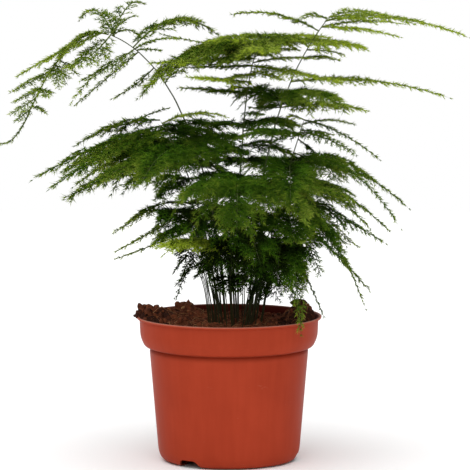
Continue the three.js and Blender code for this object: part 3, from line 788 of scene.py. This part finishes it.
# Fern
fern = {
    "seed": 404,
    "heart": (6, -10, 142),  # where the crown's painted shade is darkest
    "heartSize": (50, 110, 42),
    "heartShade": 0.55,
    "paintedTopLight": (190, 240, 0.10),  # painted light: between these heights the green turns paler, by this much
    "palest": 1.2,
}

# Each stem: its foot (x, y), two handles and the top of its arch, then its sprays. A spray: place on
# the stem from 0 to 1, or from 1 to 2 on the first spray's rib; tip x, y, z; lift of its arch; half
# width; and how fresh its green is, from 0 to about 1, set lower as painted shade for sprays deep in
# the crown. A stem with girth is that much thinner.
stems = {
    "left_tall": {
        "foot": (-2, 4), "low": (-4, 6, 185), "high": (-36, 8, 262), "top": (-77, -6, 276),
        "sprays": [
            (1.0, -128, -22, 225, 17, 10, 0.35), (0.97, -82, 44, 288, 4, 8, 0.3),
            (0.86, -94, -40, 248, -1, 8, 0.4), (0.84, -102, 25, 227, 0, 5, 0.35),
            (0.87, -5, 38, 271, 15, 13, 0.4), (0.86, -30, -48, 275, 3, 4, 0.35),
            (0.75, -76, 20, 233, -2, 6, 0.25), (0.68, -28, 30, 249, 4, 5, 0.3),
            (1.08, -135, -42, 250, 2, 10, 0.55), (0.99, -103, -50, 257, -4, 10, 0.45),
            (1.72, -143, 30, 236, 0, 6, 0.4), (1.84, -140, 8, 231, 0, 5, 0.4),
            (1.9, -138, -48, 227, 0, 5, 0.45), (1.96, -138, 6, 219, 0, 4, 0.4),
            (1.62, -97, 12, 248, 1, 4, 0.35), (1.68, -106, -56, 244, 2, 7, 0.45),
            (1.95, -119, 14, 224, 1, 4, 0.4), (0.97, -98, 30, 282, 12, 7, 0.35),
            (0.98, -55, 24, 294, 9, 6, 0.35), (0.99, -58, -6, 288, 3, 4, 0.35),
            (0.98, -58, 10, 274, 4, 5, 0.35), (1.66, -103, -30, 246, 1, 7, 0.4),
            (1.84, -114, -60, 239, 1, 7, 0.4), (0.85, -42, -20, 266, 1, 4, 0.35),
            (1.97, -147, -22, 208, -7, 4, 0.35),
        ],
    },
    "right_tall": {
        "foot": (12, 2), "low": (17, 2, 195), "high": (32, 0, 245), "top": (64, -4, 287),
        "sprays": [
            (1.0, 154, -14, 274, 6, 10, 0.65), (0.95, 109, -48, 276, 2, 8, 0.6),
            (0.93, 0, 22, 287, 6, 8, 0.45), (0.98, 97, 48, 280, 3, 6, 0.5),
            (0.88, -14, -40, 273, 4, 15, 0.45), (0.86, 89, -34, 267, 3, 11, 0.7),
            (0.8, 73, 42, 256, 2, 6, 0.35), (0.7, 143, 12, 234, 6, 10, 0.6),
            (0.66, 72, -66, 234, 3, 17, 0.25), (0.63, -1, 46, 239, 2, 15, 0.2),
            (0.6, 90, -28, 228, 3, 13, 0.55), (0.6, 36, 106, 226, 6, 18, 0.25),
            (0.95, 114, 25, 281, 3, 6, 0.5), (1.0, 104, 20, 286, 4, 9, 0.6),
            (0.99, 46, -10, 286, 2, 8, 0.45), (0.84, 75, -10, 263, 1, 6, 0.45),
            (0.6, 12, 10, 228, 0, 5, 0.15),
        ],
    },
    "middle_tall": {
        "foot": (6, -3), "low": (5, 0, 185), "high": (9, 4, 245), "top": (19, 8, 268),
        "sprays": [
            (1.0, -58, -24, 236, 14, 22, 0.35), (0.97, 91, 20, 265, 6, 15, 0.55),
            (0.9, -50, -44, 260, 0, 13, 0.4), (0.94, 6, 94, 254, 8, 22, 0.25),
            (0.9, 24, -82, 268, 5, 14, 0.45), (0.85, 73, -46, 247, 1, 11, 0.6),
            (0.76, -26, -58, 252, 0, 10, 0.65), (0.7, -34, 34, 239, 1, 9, 0.25),
            (0.57, 47, 76, 210, 4, 15, 0.15), (0.52, -28, -26, 203, 5, 19, 0.15),
            (0.47, -30, -62, 196, 6, 21, 0.2), (0.97, -33, 30, 259, 6, 16, 0.35),
            (0.99, 66, 50, 271, 4, 12, 0.5), (0.87, 56, -20, 261, 2, 6, 0.4),
            (0.55, 36, -12, 211, 2, 12, 0.2), (0.57, -18, -8, 217, 2, 11, 0.15),
            (0.5, 41, 24, 196, 3, 15, 0.15), (0.45, -20, 20, 188, 3, 15, 0.15),
            (0.85, -28, -10, 255, 0, 8, 0.25), (0.93, 46, 10, 265, 2, 9, 0.4),
            (0.82, 35, -30, 248, 0, 6, 0.6), (0.4, -21, -40, 186, 2, 14, 0.15),
            (0.99, -45, -10, 277, -2, 5, 0.4), (0.62, 22, -30, 226, 0, 5, 0.15),
            (0.97, -40, -4, 250, 9, 18, 0.35), (0.8, 0, -34, 250, 0, 8, 0.4),
            (0.44, 16, 44, 190, 2, 16, 0.1), (0.4, 22, -34, 180, 2, 14, 0.1),
            (0.38, -26, 26, 172, 3, 16, 0.1), (0.36, 26, 30, 168, 3, 16, 0.1),
            (0.34, -22, -22, 170, 3, 14, 0.1),
        ],
    },
    "right_arch": {
        "foot": (16, -6), "low": (22, -8, 140), "high": (38, -12, 190), "top": (48, -16, 222),
        "sprays": [
            (1.0, 97, -38, 197, 4, 5, 0.3), (0.97, 82, 18, 216, 3, 4, 0.3),
            (0.92, 80, -66, 203, 3, 7, 0.3), (0.9, 4, -68, 213, 4, 12, 0.15),
            (0.8, 95, -6, 182, 0, 8, 0.25), (0.74, 115, -28, 166, 11, 9, 0.3),
            (0.72, 108, -66, 157, 19, 8, 0.3), (0.73, 38, -106, 178, 6, 21, 0.22),
            (0.68, 105, -10, 148, 8, 11, 0.35), (1.0, 38, -20, 224, 1, 6, 0.6),
            (0.93, 68, 10, 210, 1, 5, 0.3), (0.75, 66, 30, 189, 3, 10, 0.2),
            (0.66, 91, -40, 153, 8, 12, 0.35), (0.88, 57, -10, 199, 0, 7, 0.2),
            (0.9, 28, -20, 208, 1, 8, 0.15),
        ],
    },
    "left_arch": {
        "foot": (-5, -6), "low": (-9, -8, 130), "high": (-20, -12, 185), "top": (-44, -18, 222),
        "sprays": [
            (1.0, -101, -4, 203, 5, 12, 0.25), (0.98, 1, -30, 224, 5, 7, 0.75),
            (0.97, -124, -44, 186, 4, 14, 0.25), (0.93, -113, -72, 182, 5, 16, 0.25),
            (0.84, -106, -30, 171, 3, 19, 0.3), (0.95, 10, 44, 213, 3, 14, 0.2),
            (0.84, -54, -108, 189, 6, 20, 0.15), (0.82, -87, -88, 186, 4, 15, 0.25),
            (0.9, -110, 10, 185, 4, 13, 0.2), (0.88, -102, 20, 175, 5, 15, 0.25),
            (0.78, -66, -60, 183, 2, 17, 0.2), (0.92, -92, 30, 194, 5, 13, 0.2),
            (0.92, -9, 0, 213, 2, 14, 0.1), (0.7, -46, -50, 173, 2, 13, 0.2),
            (0.8, 0, -20, 188, 2, 14, 0.1), (1.3, -38, 10, 228, 1, 3, 0.3),
            (0.95, -20, 24, 208, 1, 14, 0.1), (0.86, -24, 30, 184, 1, 13, 0.1),
        ],
    },
    "back_left": {
        "foot": (-3, 8), "low": (-9, 16, 130), "high": (-26, 34, 175), "top": (-42, 48, 202),
        "sprays": [
            (1.0, -112, 62, 181, 7, 13, 0.3), (0.95, -88, 96, 184, 8, 18, 0.25),
            (0.9, -40, 118, 186, 10, 24, 0.25), (0.92, 0, 92, 196, 7, 22, 0.2),
            (0.84, -96, 28, 172, 6, 12, 0.3), (0.75, -50, 84, 167, 5, 10, 0.2),
            (0.7, -46, 40, 168, 3, 10, 0.2),
        ],
    },
    "back_right": {
        "foot": (10, 9), "low": (16, 20, 120), "high": (30, 38, 160), "top": (46, 52, 192),
        "sprays": [
            (1.0, 98, 70, 174, 7, 14, 0.25), (0.94, 74, 104, 170, 9, 22, 0.25),
            (0.9, 24, 120, 176, 9, 24, 0.25), (0.86, 84, 38, 167, 4, 13, 0.25),
            (0.78, 54, 96, 140, 8, 20, 0.2),
        ],
    },
    "left_low": {
        "girth": 0.75,
        "foot": (-8, 2), "low": (-9, 0, 124), "high": (-21, -2, 152), "top": (-44, -4, 168),
        "sprays": [
            (1.0, -76, 18, 145, 0, 8, 0.6), (0.82, -73, -28, 138, 0, 6, 0.6),
            (0.68, -74, -6, 131, 0, 5, 0.6), (0.72, -48, -60, 146, 2, 10, 0.4),
            (0.9, -18, -94, 154, 5, 18, 0.15), (0.85, -52, 62, 138, 4, 5, 0.3),
            (0.98, -62, -20, 158, 1, 9, 0.45), (0.85, -41, 10, 150, 1, 6, 0.2),
            (0.6, -30, -34, 132, 1, 11, 0.1), (0.98, -19, 6, 166, 1, 9, 0.1),
        ],
    },
    "front": {
        "foot": (3, -12), "low": (1, -20, 120), "high": (-2, -34, 160), "top": (6, -48, 186),
        "sprays": [
            (1.0, 5, -120, 160, 9, 26, 0.33), (0.96, 50, -108, 168, 8, 25, 0.3),
            (0.93, -27, -104, 179, 6, 22, 0.3), (0.88, 80, -74, 175, 7, 20, 0.3),
            (0.8, 20, -108, 138, 8, 22, 0.2), (0.55, -45, -82, 147, 3, 18, 1.1),
            (0.5, -38, -66, 146, 4, 16, 1.0), (0.45, -17, -40, 126, 3, 18, 0.0),
            (0.45, 26, -44, 122, 3, 18, 0.0), (0.36, 0, -56, 116, 3, 16, 0.0),
            (0.6, 2, -90, 132, 5, 20, 0.1), (0.6, 26, -60, 156, 4, 16, 0.1),
        ],
    },
    "right_low": {
        "foot": (13, -12), "low": (16, -13, 122), "high": (30, -18, 152), "top": (52, -24, 170),
        "sprays": [
            (1.0, 100, -30, 144, 1, 10, 0.25), (0.95, 84, 20, 136, 0, 8, 0.45),
            (0.9, 76, -62, 132, 3, 12, 0.25), (0.82, 92, 8, 108, 3, 9, 0.3),
            (0.8, 88, -34, 100, 20, 9, 0.3), (0.8, 58, -76, 127, 5, 10, 0.2),
            (0.9, 40, -98, 150, 8, 22, 0.25), (0.88, 75, 0, 134, 4, 13, 0.2),
            (0.75, 52, -50, 132, 3, 10, 0.15), (1.0, 72, -10, 158, 3, 8, 0.25),
        ],
    },
    "hanging": {
        "foot": (8, -16), "low": (13, -22, 112), "high": (26, -32, 140), "top": (38, -38, 150),
        "sprays": [
            (1.0, 46, -50, 85, 10, 12, 0.5), (0.95, 61, -40, 97, 2, 3, 0.2),
            (0.9, 30, -86, 124, 8, 20, 0.15), (0.8, 8, -80, 122, 8, 20, 0.1),
            (0.97, 41, -20, 104, 2, 13, 0.15), (0.8, 30, -30, 105, 3, 14, 0.1),
        ],
    },
    "left_wisp": {
        "girth": 0.5,
        "foot": (-12, -4), "low": (-13, -6, 114), "high": (-17, -8, 126), "top": (-26, -10, 134),
        "sprays": [
            (1.0, -36, -14, 122, 2, 5, 0.2), (0.9, -33, 6, 112, 3, 3, 0.2),
            (0.85, -34, -32, 107, 4, 2, 0.2),
        ],
    },
    "right_wisp": {
        "foot": (15, 4), "low": (16, 5, 110), "high": (22, 4, 127), "top": (33, 3, 134),
        "sprays": [
            (1.0, 52, 6, 114, 4, 9, 0.2), (0.95, 46, -24, 114, 5, 11, 0.2),
            (0.9, 50, 36, 116, 6, 11, 0.2),
        ],
    },
    "back_low": {
        "foot": (5, 14), "low": (5, 24, 110), "high": (2, 38, 140), "top": (-2, 52, 156),
        "sprays": [
            (1.0, -8, 112, 138, 8, 26, 0.2), (0.95, 40, 92, 134, 8, 22, 0.2),
            (0.9, -48, 90, 130, 8, 15, 0.2), (0.85, -30, 60, 128, 6, 15, 0.2),
            (0.8, 30, 66, 120, 6, 18, 0.2), (0.6, -16, 36, 122, 3, 18, 0.05),
            (0.62, 25, 26, 124, 3, 18, 0.05),
        ],
    },
}


def cubicCurve(ends, t):
    # (1-t)^3 a + 3 t (1-t)^2 b + 3 t^2 (1-t) c + t^3 d
    t = np.asarray(t, float)[..., None]
    a, b, c, d = ends
    return (1 - t) ** 3 * a + 3 * t * (1 - t) ** 2 * b + 3 * t**2 * (1 - t) * c + t**3 * d


def arch(ends, t):
    # (1-t)^2 a + 2 t (1-t) b + t^2 c, for curves (..., 3, xyz)
    t = np.asarray(t, float)[..., None]
    return (1 - t) ** 2 * ends[..., 0, :] + 2 * t * (1 - t) * ends[..., 1, :] + t**2 * ends[..., 2, :]


def archHeading(ends, t):
    # The direction of (1-t) (b - a) + t (c - b)
    t = np.asarray(t, float)[..., None]
    first = ends[..., 1, :] - ends[..., 0, :]
    last = ends[..., 2, :] - ends[..., 1, :]
    return unit((1 - t) * first + t * last)


def archLength(ends):
    # The sum of eight straight steps
    points = arch(ends[..., None, :, :], np.linspace(0, 1, 9))
    return np.linalg.norm(np.diff(points, axis=-2), axis=-1).sum(axis=-1)


def runs(counts):
    # For each of a run of items, the number of its carrier and its own number on that carrier
    owner = np.repeat(np.arange(len(counts)), counts)
    first = np.repeat(np.cumsum(counts) - counts, counts)
    return owner, np.arange(len(owner)) - first


fernFinishes = [stalkFinish, leafFinish]
stalkSlot, leafSlot = 0, 1

needle = {
    "length": 4.4,
    "lengths": (0.68, 1.15),  # how much it varies
    "shorter": 0.3,  # at the tip of what carries it
    "sizes": (0.5, 28, 0.6, 1.2),  # base, the half width of a spray that adds 1, least and most
    "corners": 3,  # of its foot
    "width": 0.31,  # from the middle of its foot to a corner
    "perMillimetre": 0.66,  # nodes on a branchlet
    "places": (0.2, 1.0),  # of a node, within its share of the carrier
    "angle": (18, 50),  # degrees from what carries it
    "fan": (0.0, 180.0, 90.0),  # degrees round it: the needles of one node
    "fanSpread": (0.5, 0.5, 0.9),  # radians
    "upper": 0.62,  # the share of the middle needles that stand above their carrier
    "twist": (0.4, 0.3),  # of its foot, forwards and at random
    "glow": 0.36,  # how much paler the tip of its carrier is than the root
    "greenMiddle": 0.35,
    "greenSpread": 0.06,
    "paleTip": 0.07,
}


def needleSize(halfWidth):
    # base + half width / growth, between its limits
    base, growth, least, most = needle["sizes"]
    return np.clip(base + halfWidth / growth, least, most)


branchlet = {
    "pitch": (3.9, 0.04),  # and how much it grows with the spray's half width
    "fewest": 4,
    "scatter": 0.2,  # of a pitch
    "stagger": 0.25,  # of a pitch, between the two sides of the rib
    "stretch": 0.96,  # the share of the rib that carries them
    "angle": (52, 30),  # degrees from the rib, at its root and its tip
    "angleSpread": 7,
    "opening": 0.16,  # how much wider its root leans, in radians
    "lengths": (0.68, 1.08),
    "sag": (0.07, 0.011),  # and how much it grows with the branchlet's length
    "bend": 0.52,  # where it bends
    "rise": (-0.1, 0.5),  # how far its bend lies out of the spray's plane, against its length
    "toss": (-0.16, 0.2),  # and its tip
    "fullToss": 16,  # the half width from which the tips toss fully
    "radii": (0.17, 0.08),
    "glow": 0.25,  # how much paler those at the rib's tip are
    "greenSpread": 0.05,
}
sprayOutline = {"fullness": 1.4, "end": 0.97, "least": 0.01, "start": 0.35, "growth": 2.6, "lead": 0.03}


def outlineShare(u):
    # The spray widens quickly from its root and narrows in a straight line to its tip:
    # fullness (end - u) min(1, start + growth (u + lead))
    narrowing = np.clip(sprayOutline["end"] - u, sprayOutline["least"], 1)
    widening = np.minimum(1, sprayOutline["start"] + sprayOutline["growth"] * (u + sprayOutline["lead"]))
    return sprayOutline["fullness"] * narrowing * widening


def branchlets(rib, halfWidth, roll, freshAndPaintedLight, rng):
    # Places u along the rib, by turns on either side. Each branchlet leans to the tip, reaches the
    # spray's outline, bends a little forward and sags:
    # tip = root + reach (along cos lean + sideways sin lean - sag upward)
    pitch = branchlet["pitch"][0] + branchlet["pitch"][1] * halfWidth
    count = max(branchlet["fewest"], int(round(archLength(rib) / pitch)))
    scatter = branchlet["scatter"]
    place = np.repeat(np.arange(1, count), 2) + rng.uniform(-scatter, scatter, 2 * count - 2)
    hand = np.tile([-1.0, 1.0], count - 1)
    u = branchlet["stretch"] * (place + branchlet["stagger"] * hand) / count
    along = archHeading(rib, u)
    side = unit(np.cross(along, upward))
    side = side * np.cos(roll) + np.cross(along, side) * np.sin(roll)
    up = np.cross(side, along)
    first, last = branchlet["angle"]
    lean = first + (last - first) * u + rng.normal(size=len(u)) * branchlet["angleSpread"]
    lean = np.radians(lean)[:, None]
    reach = halfWidth * outlineShare(u)[:, None] / np.sin(lean)
    reach = reach * rng.uniform(*branchlet["lengths"], (len(u), 1))
    reach = np.maximum(needle["length"] * needleSize(halfWidth), reach)
    sideways = side * hand[:, None]
    root = arch(rib, u)
    wider = lean + branchlet["opening"]
    opening = along * np.cos(wider) + sideways * np.sin(wider)
    sag = branchlet["sag"][0] + branchlet["sag"][1] * reach
    tip = root + reach * (along * np.cos(lean) + sideways * np.sin(lean) - sag * upward)
    rise = rng.uniform(*branchlet["rise"], (len(u), 1))
    middle = root + branchlet["bend"] * reach * (opening + rise * up)
    toss = rng.uniform(*branchlet["toss"], (len(u), 1)) * min(1, halfWidth / branchlet["fullToss"])
    tip += up * toss * reach
    green = freshAndPaintedLight + branchlet["glow"] * u**2 + rng.normal(size=len(u)) * branchlet["greenSpread"]
    return np.stack([root, middle, tip], axis=1), up, green, np.full(len(u), needleSize(halfWidth))


twig = {
    "carrier": 9,  # branchlets longer than this carry twigs
    "pitch": 3.6,
    "stretch": 0.8,  # the share of the branchlet that carries them
    "places": (0.5, 0.9),  # of a pitch
    "angle": (34, 54),  # degrees from the branchlet
    "length": (1.6, 0.3),  # and how much it grows with what is left of the branchlet
    "longest": 7.5,
    "lengths": (0.7, 1.15),
    "sag": 0.06,
    "toss": 0.12,
    "radii": (0.13, 0),
    "glow": (0.8, -0.25),  # against the needles' glow: along the branchlet, and at its root
}


def sideTwigs(carriers, ups, greens, sizes, rng):
    # Straight twigs by turns on either side of the longer branchlets, shorter towards their tips
    lengths = archLength(carriers)
    counts = np.round(twig["stretch"] * lengths / twig["pitch"])
    counts = np.where(lengths > twig["carrier"], counts, 0).astype(int)
    owner, order = runs(counts)
    v = (order + rng.uniform(*twig["places"], len(owner))) / counts[owner] * twig["stretch"]
    hand = np.where((order + owner) % 2, 1.0, -1.0)[:, None]
    along = archHeading(carriers[owner], v)
    side = unit(np.cross(along, ups[owner]))
    root = arch(carriers[owner], v)
    angle = np.radians(rng.uniform(*twig["angle"], (len(owner), 1)))
    length = twig["length"][0] + twig["length"][1] * lengths[owner] * (1 - v)
    length = (np.minimum(length, twig["longest"]) * rng.uniform(*twig["lengths"], len(owner)))[:, None]
    tip = root + length * (along * np.cos(angle) + hand * side * np.sin(angle) - twig["sag"] * upward)
    tip += ups[owner] * rng.normal(size=(len(owner), 1)) * twig["toss"] * length
    green = greens[owner] + needle["glow"] * (twig["glow"][0] * v + twig["glow"][1])
    return np.stack([root, (root + tip) / 2, tip], axis=1), ups[owner], green, sizes[owner]


def needles(carriers, ups, greens, sizes, density, glow, rng):
    # Nodes v along every carrier, each with a fan of three needles: one to either side and one
    # between. A needle is a closed four-sided spike, whose heading is
    # along cos spread + (side cos fan + up sin fan) sin spread
    counts = np.maximum(1, np.round(archLength(carriers) * density)).astype(int)
    owner, order = runs(counts)
    v = np.clip((order + rng.uniform(*needle["places"], len(owner))) / counts[owner], 0, 1)
    node = arch(carriers[owner], v)
    along = archHeading(carriers[owner], v)
    up = ups[owner]
    side = unit(np.cross(along, up))
    perNode = len(needle["fan"])
    fan = np.radians(needle["fan"]) + rng.normal(size=(len(owner), perNode)) * needle["fanSpread"]
    fan[:, 2] += np.pi * (rng.random(len(owner)) > needle["upper"])
    spread = np.radians(rng.uniform(*needle["angle"], fan.shape))[..., None]
    around = side[:, None] * np.cos(fan)[..., None] + up[:, None] * np.sin(fan)[..., None]
    heading = unit(along[:, None] * np.cos(spread) + around * np.sin(spread))
    length = needle["length"] * rng.uniform(*needle["lengths"], fan.shape)
    length = length * (1 - needle["shorter"] * v[:, None] ** 3) * sizes[owner, None]
    root = np.repeat(node[:, None], perNode, axis=1)
    paths = np.stack([root, root + heading * length[..., None]], axis=2).reshape(-1, 2, 3)
    forward, twist = needle["twist"]
    across = np.repeat(up + forward * along, perNode, axis=0)
    across = across + rng.normal(size=(len(paths), 3)) * twist
    radii = np.full((len(paths), 2), needle["width"])
    green = greens[owner] + glow * (v - needle["greenMiddle"])
    green = green + rng.normal(size=len(owner)) * needle["greenSpread"]
    green = np.repeat(green, perNode)[:, None] + np.array([[0.0, needle["paleTip"]]])
    points, faces = tubes(paths, radii, across, needle["corners"])
    return points, faces, tubeValues(green, needle["corners"]), leafSlot


def archTubes(carriers, ups, greens, radii, steps, sides):
    # A tube along every carrier, whose radius runs in a straight line from the first to the last
    t = np.linspace(0, 1, steps)
    paths = arch(carriers[:, None], np.broadcast_to(t, (len(carriers), steps)))
    width = radii[0] + (radii[1] - radii[0]) * t
    points, faces = tubes(paths, np.broadcast_to(width, (len(carriers), steps)), ups, sides)
    return points, faces, tubeValues(np.repeat(greens[:, None], steps, axis=1), sides), stalkSlot


stalk = {
    "floor": 76,  # the stems' lower ends, in the peat
    "radii": (0.66, 0.28),
    "steps": 44,
    "sides": 8,
    "wander": (0.35, 9),  # how far, and the cell of its noise
    "axisShift": 50,  # between the three noises
    "knots": (8.8, 0.16, 0.7),  # how many waves, how thick, and the level of the wave where one starts
    "green": 0.25,
    "across": (1.0, 0.3, 0.0),
}


def stemPath(ends, number):
    # The stem's cubic curve, which wanders from its line most in the middle
    t = np.linspace(0, 1, stalk["steps"])
    path = cubicCurve(ends, t)
    reach, cell = stalk["wander"]
    shifts = [stalk["axisShift"] * axis for axis in range(3)]
    wander = np.stack([latticeNoise(path + shift, cell, number + 1) for shift in shifts], axis=-1)
    return path + wander * reach * np.sin(np.pi * t)[:, None]


def wiryStem(path, girth):
    # radius = (first + (last - first) t) (1 + thick max(0, sin(2 pi count t) - level) / (1 - level))
    t = np.linspace(0, 1, len(path))
    first, last = stalk["radii"]
    count, thick, level = stalk["knots"]
    knots = 1 + thick * np.clip(np.sin(2 * np.pi * count * t) - level, 0, 1) / (1 - level)
    radii = (first + (last - first) * t) * knots * girth
    points, faces = tubes(path[None], radii[None], np.array([stalk["across"]]), stalk["sides"])
    greens = np.full((1, len(t)), stalk["green"])
    return points, faces, tubeValues(greens, stalk["sides"]), stalkSlot


shoot = {
    "count": 3,  # thin bare ones beside each stem
    "top": 150,
    "gap": (2.0, 5.4),
    "spread": (0.9, 0.5),  # of the gap at the foot, and how much it grows
    "radii": (0.40, 0.22),
    "sides": 6,
    "green": 0.2,
    "oldFrom": 106,  # the height from which it has old dark needles
    "oldDensity": 0.8,  # nodes a millimetre
    "oldLeft": -3,  # stems with a foot further left have next to none
    "oldSize": 1.1,
    "oldGlow": 0.1,
    "oldSide": (0.0, -1.0, 0.0),  # the side that they face
}


def bareShoots(path, rng):
    # Each shoot keeps its own side of the stem and draws away from it as it climbs.
    count = shoot["count"]
    climb = path[path[:, 2] < shoot["top"]]
    share = np.linspace(0, 1, len(climb))
    turn = rng.uniform(0, 2 * np.pi, (count, 1))
    gap = rng.uniform(*shoot["gap"], (count, 1)) * (shoot["spread"][0] + shoot["spread"][1] * share)
    offset = np.stack([gap * np.cos(turn), gap * np.sin(turn), np.zeros_like(gap)], axis=-1)
    first, last = shoot["radii"]
    radii = np.tile(first + (last - first) * share, (count, 1))
    points, faces = tubes(climb + offset, radii, np.tile(stalk["across"], (count, 1)), shoot["sides"])
    greens = np.full(radii.shape, shoot["green"])
    block = (points, faces, tubeValues(greens, shoot["sides"]), stalkSlot)
    # What the old needles grow on, under the crown
    high = climb[climb[:, 2] > shoot["oldFrom"]]
    first, last = offset[:, -1] + high[0], offset[:, -1] + high[-1]
    return block, np.stack([first, (first + last) / 2, last], axis=1)


def oldNeedles(carriers, footX, rng):
    # Dark needles on the bare shoots
    count = len(carriers)
    density = shoot["oldDensity"] * (footX > shoot["oldLeft"])
    ups = np.tile(shoot["oldSide"], (count, 1))
    sizes = np.full(count, shoot["oldSize"])
    return needles(carriers, ups, np.zeros(count), sizes, density, shoot["oldGlow"], rng)


spray = {
    "ribRadii": (0.5, 0.2),
    "ribDetail": (13, 5),  # steps and sides
    "branchletDetail": (3, 3),
    "twigDetail": (2, 3),
    "roll": (9, 2.4),  # degrees that sprays tip to one side, and radians of its wave from one to the next
    "ribPale": 0.1,  # how much paler than its needles
    "branchletPale": 0.05,
    "ribNeedles": 0.4,  # against those of a branchlet
    "twigGlow": 0.4,
}


def crownShade(points, values):
    # Painted shade: darker round the crown's heart, by a bell-shaped share; painted light: paler at the top
    away = (points - np.array(fern["heart"])) / np.array(fern["heartSize"])
    values = values - fern["heartShade"] * np.exp(-(away**2).sum(axis=1))
    low, high, gain = fern["paintedTopLight"]
    values = values + gain * np.clip((points[:, 2] - low) / (high - low), 0, 1)
    return np.clip(values, 0, fern["palest"])


def leafyStem(name, shape, number):
    # A spray's rib is an arch from its root to its tip, whose middle handle lies twice its lift above
    # the straight line between them.
    rng = np.random.default_rng(fern["seed"] + number)
    ends = np.array([(*shape["foot"], stalk["floor"]), shape["low"], shape["high"], shape["top"]], float)
    node = "stem_" + name
    tilt, wave = spray["roll"]
    ribs, grown = [], []
    for k, (at, x, y, z, lift, halfWidth, freshAndPaintedLight) in enumerate(shape["sprays"]):
        root = arch(ribs[0], at - 1) if at > 1 else cubicCurve(ends, at)
        tip = np.array([x, y, z], float)
        ribs.append(np.array([root, (root + tip) / 2 + 2 * lift * upward, tip]))
        roll = np.radians(tilt * np.sin(wave * k + len(node)))
        grown.append(branchlets(ribs[-1], halfWidth, roll, freshAndPaintedLight, rng))
    arches, ups, greens, sizes = (np.concatenate(part) for part in zip(*grown))
    twigs, twigUps, twigGreens, twigSizes = sideTwigs(arches, ups, greens, sizes, rng)
    ribs = np.array(ribs)
    ribSides = unit(np.cross(archHeading(ribs, np.full(len(ribs), 0.5)), upward))
    ribUps = np.cross(ribSides, unit(ribs[:, 2] - ribs[:, 0]))
    halfWidths, ribGreens = np.array(shape["sprays"], float)[:, 5:].T
    path = stemPath(ends, number)
    shoots, oldCarriers = bareShoots(path, rng)

    pale, density = spray["branchletPale"], needle["perMillimetre"]
    glow, twigGlow = needle["glow"], spray["twigGlow"] * needle["glow"]
    ribNeedles = spray["ribNeedles"] * density
    blocks = [
        wiryStem(path, shape.get("girth", 1)),
        shoots,
        oldNeedles(oldCarriers, shape["foot"][0], rng),
        archTubes(ribs, ribUps, ribGreens + spray["ribPale"], spray["ribRadii"], *spray["ribDetail"]),
        archTubes(arches, ups, greens + pale, branchlet["radii"], *spray["branchletDetail"]),
        archTubes(twigs, twigUps, twigGreens + pale, twig["radii"], *spray["twigDetail"]),
        needles(arches, ups, greens, sizes, density, glow, rng),
        needles(twigs, twigUps, twigGreens, twigSizes, density, twigGlow, rng),
        needles(ribs, ribUps, ribGreens, needleSize(halfWidths), ribNeedles, twigGlow, rng),
    ]
    points, faces, values, slots = joinBlocks(blocks)
    values = crownShade(points, values)
    mesh = meshFrom("fern_" + name, points, faces, fernFinishes, slots, "freshAndPaintedLight", values)
    addPiece("fern_" + name, mesh, node)


for number, (name, shape) in enumerate(stems.items()):
    leafyStem(name, shape, number)
print("fern ready")
